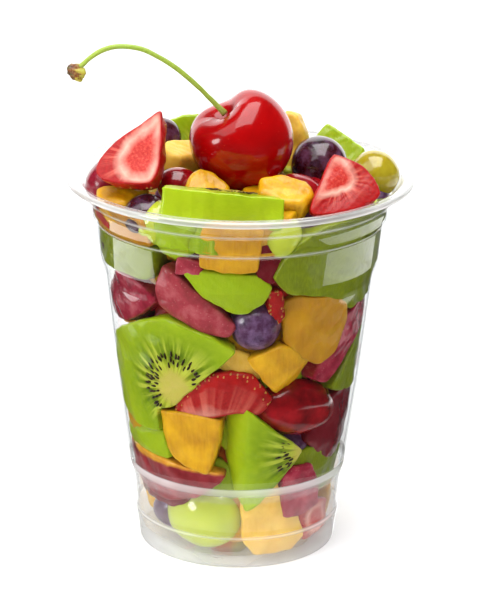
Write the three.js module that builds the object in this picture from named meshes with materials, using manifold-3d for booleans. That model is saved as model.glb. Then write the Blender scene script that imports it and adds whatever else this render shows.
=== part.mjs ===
// A clear plastic cup packed with cut fruit, topped with berries, slices and one cherry on its stem.
// Millimetres, +Z up. The origin is the middle of the cup's foot, and the cup's front faces -Y.
// Azimuths are in degrees round the cup: 0 is the front, and +90 is the +X side.

import * as THREE from 'three';
import { mergeVertices } from 'three/addons/utils/BufferGeometryUtils.js';
import Module from 'manifold-3d';

const wasm = await Module();
wasm.setup();

// ---------------------------------------------------------------- driving dimensions

const cupHeight = 105.2;
const lipRadius = 47.5;
const wallThickness = 0.7;
const footRadius = 27.3;
const puntHeight = 2.0;
const cupFacets = 36;
const clearance = 0.3;
const roomGap = 0.25;
const fillGap = 0.45;
const coreDepth = 7.0;
const coreFacets = 20;
const moundHeight = 103.5;
const sliverSize = 0.06;

// Outer side of the cup from foot to neck, as [height, radius].
const wallKnots = [
  [0.4, footRadius],
  [5.0, 27.8],
  [8.6, 28.4],
  [11.0, 28.0],
  [18.7, 29.0],
  [22.0, 29.9],
  [50.0, 33.9],
  [78.0, 37.1],
  [82.5, 38.6],
  [93.2, 39.6],
  [94.2, 40.6],
  [98.0, 41.0],
  [99.0, 41.6],
  [103.4, 44.0],
];

// ---------------------------------------------------------------- small helpers

const radians = (degrees) => (degrees * Math.PI) / 180;

// A repeatable number from 0 to 1 for each seed.
function vary(seed) {
  const wave = Math.sin(seed * 12.9898) * 43758.5453;
  return wave - Math.floor(wave);
}

function outerRadius(height) {
  const first = wallKnots[0];
  if (height <= first[0]) {
    return first[1];
  }
  for (let i = 1; i < wallKnots.length; i += 1) {
    const [lowZ, lowR] = wallKnots[i - 1];
    const [highZ, highR] = wallKnots[i];
    if (height <= highZ) {
      return THREE.MathUtils.mapLinear(height, lowZ, highZ, lowR, highR);
    }
  }
  return wallKnots[wallKnots.length - 1][1];
}

const fillRadius = (height) => outerRadius(height) - wallThickness - fillGap;

function toSolid(geometry) {
  const bare = geometry.clone();
  for (const name of Object.keys(bare.attributes)) {
    if (name !== 'position') {
      bare.deleteAttribute(name);
    }
  }
  const merged = mergeVertices(bare, 1e-4);
  return new wasm.Manifold(
    new wasm.Mesh({
      numProp: 3,
      vertProperties: new Float32Array(merged.attributes.position.array),
      triVerts: new Uint32Array(merged.index.array),
    }),
  );
}

function toGeometry(solid) {
  const mesh = solid.getMesh();
  const geometry = new THREE.BufferGeometry();
  geometry.setAttribute('position', new THREE.BufferAttribute(mesh.vertProperties.slice(), 3));
  geometry.setIndex(new THREE.BufferAttribute(mesh.triVerts.slice(), 1));
  geometry.computeVertexNormals();
  return geometry;
}

// Drops loose scraps, and the slivers that joining leaves.
function largestPart(solid) {
  const parts = solid.decompose();
  parts.sort((a, b) => b.volume() - a.volume());
  return parts[0].asOriginal().simplify(sliverSize);
}

// Moves every point of a geometry with a function of its Vector3.
function reshape(geometry, move) {
  const place = geometry.attributes.position;
  const point = new THREE.Vector3();
  for (let i = 0; i < place.count; i += 1) {
    point.fromBufferAttribute(place, i);
    move(point);
    place.setXYZ(i, point.x, point.y, point.z);
  }
  return geometry;
}

// Joins rings of points, from one end point to the other, into a closed skin.
function ringSkin(startPoint, rings, endPoint) {
  const points = [startPoint, ...rings.flat(), endPoint];
  const count = rings[0].length;
  const last = points.length - 1;
  const faces = [];
  for (let i = 0; i < count; i += 1) {
    const next = (i + 1) % count;
    faces.push(0, 1 + i, 1 + next);
    for (let ring = 0; ring + 1 < rings.length; ring += 1) {
      const upper = 1 + ring * count;
      const lower = upper + count;
      faces.push(upper + i, lower + i, lower + next);
      faces.push(upper + i, lower + next, upper + next);
    }
    const rim = 1 + (rings.length - 1) * count;
    faces.push(rim + i, last, rim + next);
  }
  const geometry = new THREE.BufferGeometry();
  const flat = points.flatMap((point) => [point.x, point.y, point.z]);
  geometry.setAttribute('position', new THREE.Float32BufferAttribute(flat, 3));
  geometry.setIndex(faces);
  return geometry;
}

// ---------------------------------------------------------------- fruit shapes

// A knife-cut chunk: an outline in x and y with rounded edges. Its front is at z = 0, domed in the
// middle, and falls away where a slope [along x, along y, height at the middle] lies under it.
function chunk({ outline: corners, thickness = 10, edge = 1.4, dome = 0, slopes = [] }) {
  const area = THREE.ShapeUtils.area(corners.map(([x, y]) => new THREE.Vector2(x, y)));
  const outline = area < 0 ? [...corners].reverse() : corners;
  const front = (x, y, share) => {
    const planes = slopes.map(([alongX, alongY, height]) => alongX * x + alongY * y + height);
    return Math.min(dome * (1 - share * share) - dome, ...planes);
  };
  const ring = (inward, height) =>
    outline.map(([x, y]) => {
      const length = Math.hypot(x, y);
      const share = Math.max(0.3, 1 - inward / length);
      const top = front(x * share, y * share, share);
      const z = height === 'front' ? top : Math.max(-thickness, Math.min(top, 0) + height);
      return new THREE.Vector3(x * share, y * share, height === 'back' ? -thickness : z);
    });
  const rings = [ring(edge, 'front'), ring(0, -edge), ring(0, edge - thickness), ring(edge, 'back')];
  rings[2].forEach((point, i) => {
    point.z = Math.min(edge - thickness, rings[1][i].z - 1);
  });
  const middle = new THREE.Vector3(0, 0, front(0, 0, 0));
  return ringSkin(middle, rings, new THREE.Vector3(0, 0, -thickness));
}

function ball([halfX, halfY, halfZ], around = 10, levels = 7) {
  return new THREE.SphereGeometry(1, around, levels).rotateX(Math.PI / 2).scale(halfX, halfY, halfZ);
}

// A regular outline with uneven corners.
function unevenOutline(halfWidth, halfHeight, corners, seed) {
  return Array.from({ length: corners }, (_, i) => {
    const angle = radians((i + 0.35 * vary(seed + i * 7.1)) * (360 / corners));
    const reach = 0.88 + 0.24 * vary(seed + i * 3.7);
    return [halfWidth * reach * Math.cos(angle), halfHeight * reach * Math.sin(angle)];
  });
}

// ---------------------------------------------------------------- pieces against the wall

// Bends a shape round the cup: its x runs round the wall, its y upward, and its z = 0 lies on the wall.
function bendToWall(geometry, azimuth, height, inset) {
  const turnRadius = fillRadius(height);
  return reshape(geometry, (point) => {
    const level = Math.max(puntHeight + wallThickness + clearance, height + point.y);
    const around = radians(azimuth) + point.x / turnRadius;
    const radius = Math.min(fillRadius(level) - inset + point.z, fillRadius(level));
    point.set(radius * Math.sin(around), -radius * Math.cos(around), level);
  });
}

// A chunk whose outline is given on the wall as [azimuth, height] corners.
function wallChunk({ corners, inset = 0, ...form }) {
  const box = new THREE.Box2().setFromPoints(corners.map(([a, z]) => new THREE.Vector2(a, z)));
  const middle = box.getCenter(new THREE.Vector2());
  const turnRadius = fillRadius(middle.y);
  const outline = corners.map(([a, z]) => [radians(a - middle.x) * turnRadius, z - middle.y]);
  return bendToWall(chunk({ outline, ...form }), middle.x, middle.y, inset);
}

// A round fruit pressed lightly to the wall.
function wallBall({ azimuth, height, inset = 0, radii, roll = 0 }) {
  const centre = fillRadius(height) - radii[2] * 0.95 - inset;
  const geometry = ball(radii, 10, 7)
    .rotateZ(radians(roll))
    .rotateX(Math.PI / 2)
    .translate(0, -centre, height)
    .rotateZ(radians(azimuth));
  return reshape(geometry, (point) => {
    point.z = Math.max(puntHeight + wallThickness + clearance, point.z);
    const radius = Math.hypot(point.x, point.y);
    const most = fillRadius(point.z);
    if (radius > most) {
      point.x *= most / radius;
      point.y *= most / radius;
    }
  });
}

// Front half of the filling, from the rim down.
const frontChunks = [
  // mango by the left rim
  { corners: [[-97, 91], [-62, 92], [-36, 93], [-38, 101], [-60, 102], [-96, 99]], inset: 0.3 },
  // peeled kiwi under the front rim
  {
    corners: [
      [-39, 97], [-34, 101], [-24, 103], [-16, 102], [-17, 94], [-24, 90], [-34, 91],
    ],
    dome: 2,
  },
  // mango slab under the front rim
  { corners: [[-17, 89], [8, 88], [9, 103], [-14, 103]], inset: 0.2 },
  // olive kiwi by the left shine
  { corners: [[-97, 81], [-38, 83], [-36, 93], [-50, 93], [-96, 91]], inset: 0.4 },
  // plum corner between kiwi and mango
  { corners: [[-28, 86], [-15, 87], [-15.5, 91], [-26, 92]], inset: 1.2, thickness: 8 },
  // plum behind the yellow grape
  { corners: [[7, 85], [17, 85], [18, 92], [12, 97], [7, 96]], inset: 1.5 },
  // big kiwi half on the right
  {
    corners: [
      [13, 87], [22, 96], [34, 101], [60, 101], [97, 98], [98, 84], [96, 74], [58, 72], [40, 79], [20, 82],
    ],
  },
  // plum slice on the left
  {
    corners: [
      [-97, 72], [-83, 74], [-60, 84.5], [-46, 81], [-38, 77], [-48, 72], [-62, 67], [-96, 65],
    ],
    inset: 0.1,
    dome: 0.8,
  },
  // plum slice lying aslant
  {
    corners: [
      [-40, 80], [-34, 88.5], [-24, 85], [-12, 79], [-1, 72.5], [-4, 69], [-14, 69], [-26, 72],
      [-39, 76],
    ],
    dome: 1.5,
  },
  // kiwi slice in the middle
  {
    corners: [
      [-24, 87], [-20, 88.5], [8, 88], [14, 84], [11, 79], [4, 76], [-5, 76.5], [-16, 81],
    ],
    inset: 0.3,
    dome: 1,
  },
  // strawberry behind the blueberry
  { corners: [[12, 83], [19, 83], [22, 74], [14, 70]], inset: 2.0 },
  // mango on the right
  {
    corners: [
      [20, 78], [27, 80.5], [42, 79], [52, 77], [57, 71], [50, 61], [40, 59], [30, 62], [21, 67],
    ],
    inset: 0.2,
  },
  // mango under it
  { corners: [[3, 63], [20, 67], [30, 64], [39, 58], [36, 54], [21, 50.5], [11, 57]], inset: 0.5 },
  // plum slice at the right edge
  {
    corners: [
      [38, 54.5], [46, 64.5], [54, 71], [74, 73.5], [97, 72], [96, 67.5], [78, 67], [61, 57.5], [48, 52],
    ],
    inset: 0.3,
    dome: 1,
  },
  // kiwi at the right edge
  { corners: [[50, 50], [61, 56], [78, 66], [97, 67], [97, 45], [66, 46.5]], inset: 0.8 },
  // half slice of kiwi on the left
  {
    corners: [
      [-97, 55], [-70, 64.5], [-50, 70], [-34, 73.5], [-12, 69.5], [0, 65.5], [-12, 59], [-32, 47],
      [-43, 45], [-42, 38], [-62, 37], [-97, 42],
    ],
  },
  // strawberry crescent
  {
    corners: [
      [-34, 46], [-26, 53], [-14, 58], [-3, 59.5], [8, 58], [18, 50.5], [11, 46], [0, 47], [-12, 45],
      [-30, 44.5],
    ],
    inset: 0.1,
    dome: 1,
  },
  // peach in the gap over the crescent
  { corners: [[-16, 62], [-6, 66], [6, 64], [12, 56], [0, 56]], inset: 3.0, thickness: 8 },
  // mango left of the middle
  {
    corners: [
      [-42, 45], [-26, 46], [-7, 45], [-9, 37], [-15, 27.5], [-38, 31], [-43, 38],
    ],
    inset: 0.3,
  },
  // mango at the left edge
  { corners: [[-97, 41], [-60, 40], [-60, 34], [-97, 32]], inset: 0.9 },
  // kiwi under it
  {
    corners: [
      [-97, 33], [-60, 37.5], [-43, 38.5], [-38, 30], [-62, 28], [-96, 29],
    ],
    inset: 0.4,
    dome: 1,
  },
  // nectarine slice with red skin
  {
    corners: [
      [-97, 29.5], [-58, 30.5], [-5, 28.5], [-9, 25.5], [-24, 19.5], [-46, 16.5], [-72, 18], [-97, 22],
    ],
    inset: 0.6,
  },
  // kiwi wedge with its ridge to the front
  {
    corners: [
      [-9, 36], [-6, 45], [0, 51], [9, 46], [24, 39], [37, 34], [24, 26], [12, 19], [5, 16.5], [-3, 24],
    ],
    slopes: [[0.9, 0, 4.5]],
  },
  // dark plum on the right
  {
    corners: [
      [38, 36], [48, 45], [66, 50], [97, 44], [97, 30], [64, 26.5], [50, 30],
    ],
    inset: 0.5,
    dome: 1,
  },
  // olive kiwi low on the right
  { corners: [[28, 32], [42, 34], [66, 29], [97, 28], [96, 18], [46, 18]], inset: 1.6 },
  // red plum low on the right
  { corners: [[24, 27], [30, 29.5], [43, 29], [50, 23], [56, 15], [41, 13], [27, 13.5]], inset: 0.2 },
  // mango at the bottom
  {
    corners: [
      [2, 18], [8, 25], [22, 26], [27, 18], [40, 13], [45, 6], [36, 3], [10, 3], [3, 8],
    ],
    inset: 0.8,
  },
  // strawberry at the bottom right
  { corners: [[40, 14], [56, 16], [74, 13], [70, 5], [46, 4]], inset: 1.2 },
  // plum at the bottom left
  { corners: [[-94, 20.5], [-46, 21], [-28, 19], [-36, 15], [-90, 14]], inset: 1.4, thickness: 8 },
];

const frontBalls = [
  // blueberry by the left rim and one at the left edge
  { azimuth: -78, height: 87.5, radii: [6, 6, 5.5], inset: 0.6 },
  // yellow grape under the front rim
  { azimuth: 17.5, height: 97.5, radii: [6.2, 6.2, 6], inset: 0.3 },
  // blueberry in the middle
  { azimuth: 8.5, height: 71.5, radii: [6.9, 6.9, 6.4] },
  // red grape on the right
  { azimuth: 36, height: 45.5, radii: [13.5, 8.2, 8], roll: -14 },
  // blueberry behind it
  { azimuth: 37, height: 33.5, radii: [5.5, 5.5, 5.5], inset: 2.4 },
  // green grape at the bottom
  { azimuth: -25, height: 12.6, radii: [11.3, 9.8, 7.8], roll: 8, inset: 0.4 },
  // blueberry at the bottom left
  { azimuth: -58, height: 11, radii: [6, 5.5, 5.5], inset: 1.5 },
];

// Back half of the filling: five rows of uneven pieces, every third one round.
const backRows = [12, 31, 50, 69, 88];
const backStart = 96;
const backEnd = 264;
const backPiecesPerRow = 5;

function backPieces() {
  const step = (backEnd - backStart) / backPiecesPerRow;
  return backRows.flatMap((rowHeight, row) =>
    Array.from({ length: backPiecesPerRow }, (_, i) => {
      const seed = row * 10 + i;
      const shift = row % 2 === 0 ? 0.35 : 0.65;
      const azimuth = backStart + (i + shift) * step;
      const height = rowHeight + 3 * (vary(seed) - 0.5);
      const inset = 1.2 * vary(seed + 0.5);
      if (seed % 3 === 2) {
        return wallBall({ azimuth, height, inset, radii: [9, 8, 8], roll: 60 * vary(seed + 0.3) });
      }
      const halfWidth = (radians(step) * fillRadius(height)) / 2 + 1;
      const outline = unevenOutline(halfWidth, 10.5, 6, seed);
      return bendToWall(chunk({ outline, dome: 1 }), azimuth, height, inset);
    }),
  );
}

// Crown of the filling: rings of pieces lying round the top, as [ring radius, pieces, top height].
const crownRings = [
  [34, 14, 103],
  [20, 8, 103.5],
  [7, 3, 104.5],
];

function crownPieces() {
  return crownRings.flatMap(([ringRadius, count, top], ring) =>
    Array.from({ length: count }, (_, i) => {
      const seed = 100 + ring * 20 + i;
      const angle = (i + 0.5 * ring) * (360 / count);
      const round = seed % 3 === 1;
      const outline = unevenOutline(8, 6.5, 6, seed);
      const shape = round ? ball([6.5, 6, 6]).translate(0, 0, -6) : chunk({ outline, dome: 0.5 });
      return shape
        .rotateZ(radians(360 * vary(seed + 0.2)))
        .rotateX(radians(24 * (vary(seed + 0.4) - 0.5)))
        .rotateY(radians(24 * (vary(seed + 0.6) - 0.5)))
        .translate(ringRadius, 0, top + 2.5 * vary(seed + 0.8))
        .rotateZ(radians(angle));
    }),
  );
}

// ---------------------------------------------------------------- toppings

// Each topping: its shape, its middle, and its turns in degrees about X, then Y, then Z.
// A chunk's front, its z = 0 side, faces up before it is turned.
const standing = 90;
const toppings = [
  {
    name: 'cherry',
    shape: () => cherryBody(),
    at: [0.4, -6, 115.3],
    turn: [17, -31, 0],
    color: 0x9c0d12,
  },
  {
    name: 'strawberry_left',
    shape: () =>
      chunk({
        outline: [
          [6, 12.8],
          [8.5, 0.9],
          [8.8, -3],
          [7.4, -7.6],
          [-2.3, -8.5],
          [-8, -6.9],
          [-8.6, -4.2],
          [-6.7, 0.9],
          [-3.9, 4.2],
          [0, 7.7],
        ],
        thickness: 10,
        edge: 1.2,
      }).translate(0, 0, 5),
    at: [-27.5, -19, 113.5],
    turn: [55, 0, -20],
    color: 0xd4302a,
  },
  {
    name: 'strawberry_right',
    shape: () =>
      chunk({
        outline: [
          [-3, 8], [-6.3, 3.8], [-10.8, -4.3], [-11.4, -8], [0, -7.7], [7.1, -4.8], [7.4, -1.1],
          [3.2, 4.8],
        ],
        thickness: 9,
        edge: 1.2,
      }).translate(0, 0, 4.5),
    at: [28, -22, 107.6],
    turn: [55, 0, 14],
    color: 0xd4302a,
  },
  {
    name: 'kiwi_front',
    shape: () =>
      chunk({
        outline: [
          [-16.2, -8.4], [-6, -9.3], [6, -9.3], [16.2, -8.6], [14, -1], [8, 5.5], [-3, 7.5], [-12, 4.5],
        ],
        thickness: 8.4,
        edge: 0.5,
      }).translate(0, 0, 3.1),
    at: [-4.6, -28.6, 104.9],
    turn: [-13, 5.2, 0],
    color: 0x8fb81e,
  },
  {
    name: 'grape_black',
    shape: () => ball([7.7, 7.7, 7.6]),
    at: [21.4, 0, 107.4],
    turn: [0, 0, 0],
    color: 0x2a0f1c,
  },
  {
    name: 'grape_green',
    shape: () => ball([6.8, 6.8, 6.6]),
    at: [36.4, 2, 104],
    turn: [0, 0, 0],
    color: 0x9aa02a,
  },
  {
    name: 'blueberry_left',
    shape: () => ball([6.3, 6.3, 6]),
    at: [-24.6, -24.6, 99.8],
    turn: [0, 0, 0],
    color: 0x1c1830,
  },
  {
    name: 'mango_front',
    shape: () =>
      chunk({ outline: unevenOutline(7.8, 6.5, 7, 3), thickness: 9, edge: 1.6 }).translate(0, 0, 4.5),
    at: [11.6, -25.6, 104.8],
    turn: [20, 12, -12],
    color: 0xe0a11c,
  },
  {
    name: 'mango_left',
    shape: () =>
      chunk({ outline: unevenOutline(7.5, 6, 6, 5), thickness: 8, edge: 1.4 }).translate(0, 0, 4),
    at: [-31, -18.5, 101.6],
    turn: [10, -12, 30],
    color: 0xe0a11c,
  },
  {
    name: 'plum_left',
    shape: () => ball([9.5, 7.2, 8]),
    at: [-33.6, -8.5, 103.2],
    turn: [0, 12, 60],
    color: 0x8c1f30,
  },
  {
    name: 'grape_red',
    shape: () => ball([6.2, 5.2, 5.2]),
    at: [-16.2, -14.5, 105],
    turn: [0, 15, 20],
    color: 0x6d0f18,
  },
  {
    name: 'peach_middle',
    shape: () =>
      chunk({
        outline: [[-6.5, -5], [5.5, -5.5], [6, 0], [1.5, 4.5], [-2.5, 5.5], [-5.5, 1]],
        thickness: 7,
        edge: 1.4,
      }).translate(0, 0, 3.5),
    at: [-9, -19.6, 105.4],
    turn: [34, 8, 6],
    color: 0xe0a11c,
  },
  {
    name: 'plum_right',
    shape: () => ball([7, 6, 5.5]),
    at: [16, -13.5, 102.6],
    turn: [0, 20, -30],
    color: 0x6d0f18,
  },
  {
    name: 'peach_left',
    shape: () =>
      chunk({ outline: unevenOutline(7.5, 6.5, 6, 11), thickness: 11, edge: 1.5 }).translate(0, 0, 5.5),
    at: [-15.6, 1.5, 106.2],
    turn: [14, 10, 15],
    color: 0xe3b23c,
  },
  {
    name: 'blueberry_back',
    shape: () => ball([5.8, 5.8, 5.5]),
    at: [-22, 12, 110.9],
    turn: [0, 0, 0],
    color: 0x1c1830,
  },
  {
    name: 'peach_back',
    shape: () =>
      chunk({ outline: [[-6, -9], [5, -9], [7, 0], [3.5, 9], [0, 10], [-5, 4]], thickness: 6, edge: 1.4 })
        .translate(0, 0, 3),
    at: [12.5, 11.5, 109],
    turn: [standing - 12, 0, -14],
    color: 0xe3b23c,
  },
  {
    name: 'kiwi_back_left',
    shape: () =>
      chunk({
        outline: [[-9, -6], [9, -6], [10, 3], [6, 6.6], [-4, 6.4], [-8, 5.2], [-9.5, 1]],
        thickness: 7,
        edge: 0.8,
      }).translate(0, 0, 3.5),
    at: [-12.5, 22, 108],
    turn: [standing - 20, 0, 10],
    color: 0x8fb81e,
  },
  {
    name: 'kiwi_back_right',
    shape: () =>
      chunk({
        outline: [[-8, -5], [7, -6], [7.6, -1.6], [2.4, 2], [-3.4, 5.4], [-7.5, 0]],
        thickness: 8,
        edge: 0.8,
      }).translate(0, 0, 4),
    at: [27.2, 18.5, 107.4],
    turn: [standing - 30, 0, -8],
    color: 0x8fb81e,
  },
  {
    name: 'strawberry_back',
    shape: () =>
      chunk({
        outline: [[0, 11], [6, 6], [9, -1], [7, -7], [0, -9], [-7, -7], [-9, -1], [-6, 6]],
        thickness: 9,
        edge: 2.4,
      }).translate(0, 0, 4.5),
    at: [2, 33, 106.6],
    turn: [-52, 0, 4],
    color: 0xd4302a,
  },
  {
    name: 'grape_back',
    shape: () => ball([6.6, 8, 6.2]),
    at: [26, 29.5, 101.4],
    turn: [0, 0, 30],
    color: 0x6d0f18,
  },
  {
    name: 'mango_back',
    shape: () =>
      chunk({ outline: unevenOutline(8, 6.5, 7, 17), thickness: 9, edge: 1.6 }).translate(0, 0, 4.5),
    at: [-24, 27, 104.6],
    turn: [-12, -10, 40],
    color: 0xe0a11c,
  },
  {
    name: 'blueberry_rear',
    shape: () => ball([5.8, 5.8, 5.4]),
    at: [0, 16.5, 108.6],
    turn: [0, 0, 0],
    color: 0x1c1830,
  },
];

// A cherry about its stem axis: a hollow at the stem, broad shoulders, and a valley down the far side.
const cherryRadius = 13.9;
const valleyWay = new THREE.Vector3(0.13, 0.99, 0);
const valleySide = new THREE.Vector3(0.99, -0.13, 0);
function cherryBody() {
  const hollowWidth = 0.42;
  const hollowDepth = 0.3;
  const valleyWidth = 0.38;
  const valleyLength = 0.95;
  const valleyDepth = 0.2;
  return reshape(new THREE.SphereGeometry(1, 18, 13).rotateX(Math.PI / 2), (point) => {
    const fromStem = Math.acos(THREE.MathUtils.clamp(point.z, -1, 1));
    const hollow = hollowDepth * Math.exp(-((fromStem / hollowWidth) ** 2));
    const shoulder = 0.05 * Math.exp(-(((fromStem - 0.8) / 0.4) ** 2));
    const beside = (point.dot(valleySide) / valleyWidth) ** 2;
    const down = (fromStem / valleyLength) ** 4;
    const behind = THREE.MathUtils.clamp(point.dot(valleyWay) * 4 + 0.5, 0, 1);
    const valley = valleyDepth * Math.exp(-beside - down) * behind;
    const reach = cherryRadius * (1 - hollow + shoulder * (1 - valley / valleyDepth) - valley);
    point.set(point.x * reach, point.y * reach * 0.97, point.z * reach * 0.97);
  });
}

function placeTopping({ shape, at, turn }, growth = 0) {
  const geometry = shape();
  geometry.computeBoundingBox();
  const size = geometry.boundingBox.getSize(new THREE.Vector3());
  const middle = geometry.boundingBox.getCenter(new THREE.Vector3());
  const least = Math.min(size.x, size.y, size.z) / 2;
  const scale = 1 + growth / least;
  geometry.translate(-middle.x, -middle.y, -middle.z).scale(scale, scale, scale);
  geometry.translate(middle.x, middle.y, middle.z);
  geometry.rotateX(radians(turn[0])).rotateY(radians(turn[1])).rotateZ(radians(turn[2]));
  return toSolid(geometry.translate(...at));
}

// The stalk rises from the cherry's hollow in one arch and ends in a knob of old wood.
const stemRadius = 0.8;
const stemRoute = [
  [-4.2, -9, 123.6],
  [-8.4, -9.2, 128],
  [-12.6, -9.4, 132.2],
  [-17.6, -9.6, 136.4],
  [-22.2, -9.8, 139.3],
  [-26.8, -10, 141.4],
  [-32.2, -10.2, 142],
  [-36.5, -10.4, 141],
  [-40, -10.6, 138.8],
  [-43, -10.8, 136],
];
const stemEnd = [-43.6, -10.8, 135];

function cherryStem(growth = 0) {
  const curve = new THREE.CatmullRomCurve3(stemRoute.map((point) => new THREE.Vector3(...point)));
  const sides = 8;
  const section = new THREE.Shape(
    Array.from({ length: sides }, (_, i) => {
      const angle = (i / sides) * 2 * Math.PI;
      const reach = stemRadius + growth;
      return new THREE.Vector2(reach * Math.cos(angle), reach * Math.sin(angle));
    }),
  );
  const stalk = new THREE.ExtrudeGeometry(section, { extrudePath: curve, steps: 18, bevelEnabled: false });
  const knob = ball([2.6, 2.1, 2.0], 8, 6).rotateY(radians(35)).translate(...stemEnd);
  return toSolid(stalk).add(toSolid(knob));
}

// ---------------------------------------------------------------- cup

function cupGeometry() {
  const lip = [
    [lipRadius - 0.6, cupHeight - 2],
    [lipRadius, cupHeight - 1],
    [lipRadius - 0.6, cupHeight],
    [44.4, cupHeight],
  ];
  const floor = puntHeight + wallThickness;
  const outer = [
    [0, puntHeight],
    [23, puntHeight],
    [25.5, 0],
    [26.9, 0],
    ...wallKnots.map(([height, radius]) => [radius, height]),
  ];
  const inner = wallKnots
    .slice(1)
    .reverse()
    .map(([height, radius]) => [radius - wallThickness, height + wallThickness * 0.3]);
  const profile = [...outer, ...lip, ...inner, [footRadius - 1.5, floor], [0, floor]];
  const points = profile.map(([radius, height]) => new THREE.Vector2(radius, height));
  return new THREE.LatheGeometry(points, cupFacets).rotateX(Math.PI / 2);
}

// The space that the fruit may take: inside the wall, and free above the lip.
function roomSolid() {
  const above = 160;
  const profile = [
    [0, puntHeight + wallThickness + roomGap],
    [footRadius - 1.7, puntHeight + wallThickness + roomGap],
    ...wallKnots
      .slice(1)
      .map(([height, radius]) => [radius - wallThickness - roomGap, height + wallThickness * 0.3]),
    [43.2, cupHeight + clearance],
    [lipRadius, cupHeight + clearance + 0.2],
    [lipRadius, above],
    [0, above],
  ];
  const points = profile.map(([radius, height]) => new THREE.Vector2(radius, height));
  return toSolid(new THREE.LatheGeometry(points, cupFacets).rotateX(Math.PI / 2));
}

// ---------------------------------------------------------------- filling

function coreSolid() {
  const bottom = puntHeight + wallThickness + clearance + 1;
  const levels = [bottom, 20, 50, 80, 96];
  const profile = [
    [0, bottom],
    ...levels.map((height) => [fillRadius(height) - coreDepth, height]),
    [fillRadius(96) - 5, 99],
    [30, moundHeight - 1],
    [18, moundHeight],
    [0, moundHeight],
  ];
  const points = profile.map(([radius, height]) => new THREE.Vector2(radius, height));
  return toSolid(new THREE.LatheGeometry(points, coreFacets).rotateX(Math.PI / 2));
}

function fillingSolid(room, grownToppings) {
  const pieces = [
    ...frontChunks.map((row) => wallChunk(row)),
    ...frontBalls.map((row) => wallBall(row)),
    ...backPieces(),
    ...crownPieces(),
  ];
  let filling = coreSolid();
  for (const piece of pieces) {
    filling = filling.add(toSolid(piece));
  }
  filling = filling.intersect(room);
  for (const topping of grownToppings) {
    filling = filling.subtract(topping);
  }
  return largestPart(filling);
}

// ---------------------------------------------------------------- the whole part

const fruitCup = new THREE.Group();

function addMesh(name, geometry, look) {
  const mesh = new THREE.Mesh(geometry, new THREE.MeshStandardMaterial(look));
  mesh.name = name;
  fruitCup.add(mesh);
}

const room = roomSolid();
const grownStem = cherryStem(clearance + 0.05);
const grown = [];
for (const row of toppings) {
  let solid = placeTopping(row).intersect(room);
  for (const neighbour of grown) {
    solid = solid.subtract(neighbour);
  }
  solid = solid.subtract(grownStem);
  addMesh(row.name, toGeometry(largestPart(solid)), { color: row.color, roughness: 0.25, metalness: 0 });
  grown.push(placeTopping(row, clearance + 0.05));
}

addMesh('cherry_stem', toGeometry(cherryStem()), { color: 0x8aa62c, roughness: 0.5, metalness: 0 });
const heap = toGeometry(fillingSolid(room, grown));
addMesh('fruit_heap', heap, { color: 0xc9832a, roughness: 0.3, metalness: 0 });
addMesh('cup', cupGeometry(), {
  color: 0xf4f8f8,
  roughness: 0.05,
  metalness: 0,
  transparent: true,
  opacity: 0.3,
});

export default fruitCup;
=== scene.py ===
"""Looks of the fruit cup: real fruit pieces, the clear cup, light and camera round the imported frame.

Lengths are in millimetres until a mesh is made. Azimuths are in degrees round the cup: 0 is the
front (-Y) and +90 the +X side, as in the part's own source.
"""

import math

import bpy
import numpy as np
from mathutils import Matrix, Vector


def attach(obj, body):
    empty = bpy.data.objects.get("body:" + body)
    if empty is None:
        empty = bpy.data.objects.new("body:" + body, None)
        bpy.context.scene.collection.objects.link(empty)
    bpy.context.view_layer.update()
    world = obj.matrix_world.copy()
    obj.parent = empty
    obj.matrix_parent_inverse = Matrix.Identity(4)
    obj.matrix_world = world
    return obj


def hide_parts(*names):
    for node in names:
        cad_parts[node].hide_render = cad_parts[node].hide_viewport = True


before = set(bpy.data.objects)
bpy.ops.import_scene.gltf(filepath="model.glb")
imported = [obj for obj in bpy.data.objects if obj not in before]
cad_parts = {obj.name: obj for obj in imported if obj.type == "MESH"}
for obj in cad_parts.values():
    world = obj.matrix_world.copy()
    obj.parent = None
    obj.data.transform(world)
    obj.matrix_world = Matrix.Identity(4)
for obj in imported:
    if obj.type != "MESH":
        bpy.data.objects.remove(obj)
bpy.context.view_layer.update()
scene = bpy.context.scene
MM = 0.001


def put(name, data, turn=None, at=(0, 0, 0)):
    """A new object of this data in the scene."""
    made = bpy.data.objects.new(name, data)
    scene.collection.objects.link(made)
    if turn:
        made.matrix_world = Matrix.Translation(at) @ turn
    return made


# ---------------------------------------------------------------- camera

CAMERA_AT = (0.0, -0.7636, 0.3305)
CAMERA_DOWN = 0.33286
CAMERA_ROLL = 0.01095
CAMERA_YAW = 0.0006
LENS = 172.83
SENSOR = 36.0


def make_camera():
    data = bpy.data.cameras.new("camera")
    data.sensor_fit = "AUTO"
    data.sensor_width = SENSOR
    data.lens = LENS
    data.clip_end = 50.0
    turn = Matrix.Rotation(-CAMERA_YAW, 4, "Z") @ Matrix.Rotation(math.pi / 2 - CAMERA_DOWN, 4, "X")
    scene.camera = put("camera", data, turn @ Matrix.Rotation(CAMERA_ROLL, 4, "Z"), CAMERA_AT)


make_camera()

# ---------------------------------------------------------------- the cup's sizes

CUP_HEIGHT = 105.2
LIP_RADIUS = 47.5
WALL = 0.7
FOOT_RADIUS = 27.3
PUNT = 2.0
FLOOR_LEVEL = PUNT + WALL
CORE_DEPTH = 7.5

# Outer side of the cup from foot to neck, as (height, radius).
WALL_KNOTS = [
    (0.4, FOOT_RADIUS), (5.0, 27.8), (8.6, 28.4), (11.0, 28.0), (18.7, 29.0), (22.0, 29.9), (50.0, 33.9),
    (78.0, 37.1), (82.5, 38.6), (93.2, 39.6), (94.2, 40.6), (98.0, 41.0), (99.0, 41.6), (103.4, 44.0),
]
INTO_WALL = 0.05


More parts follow.
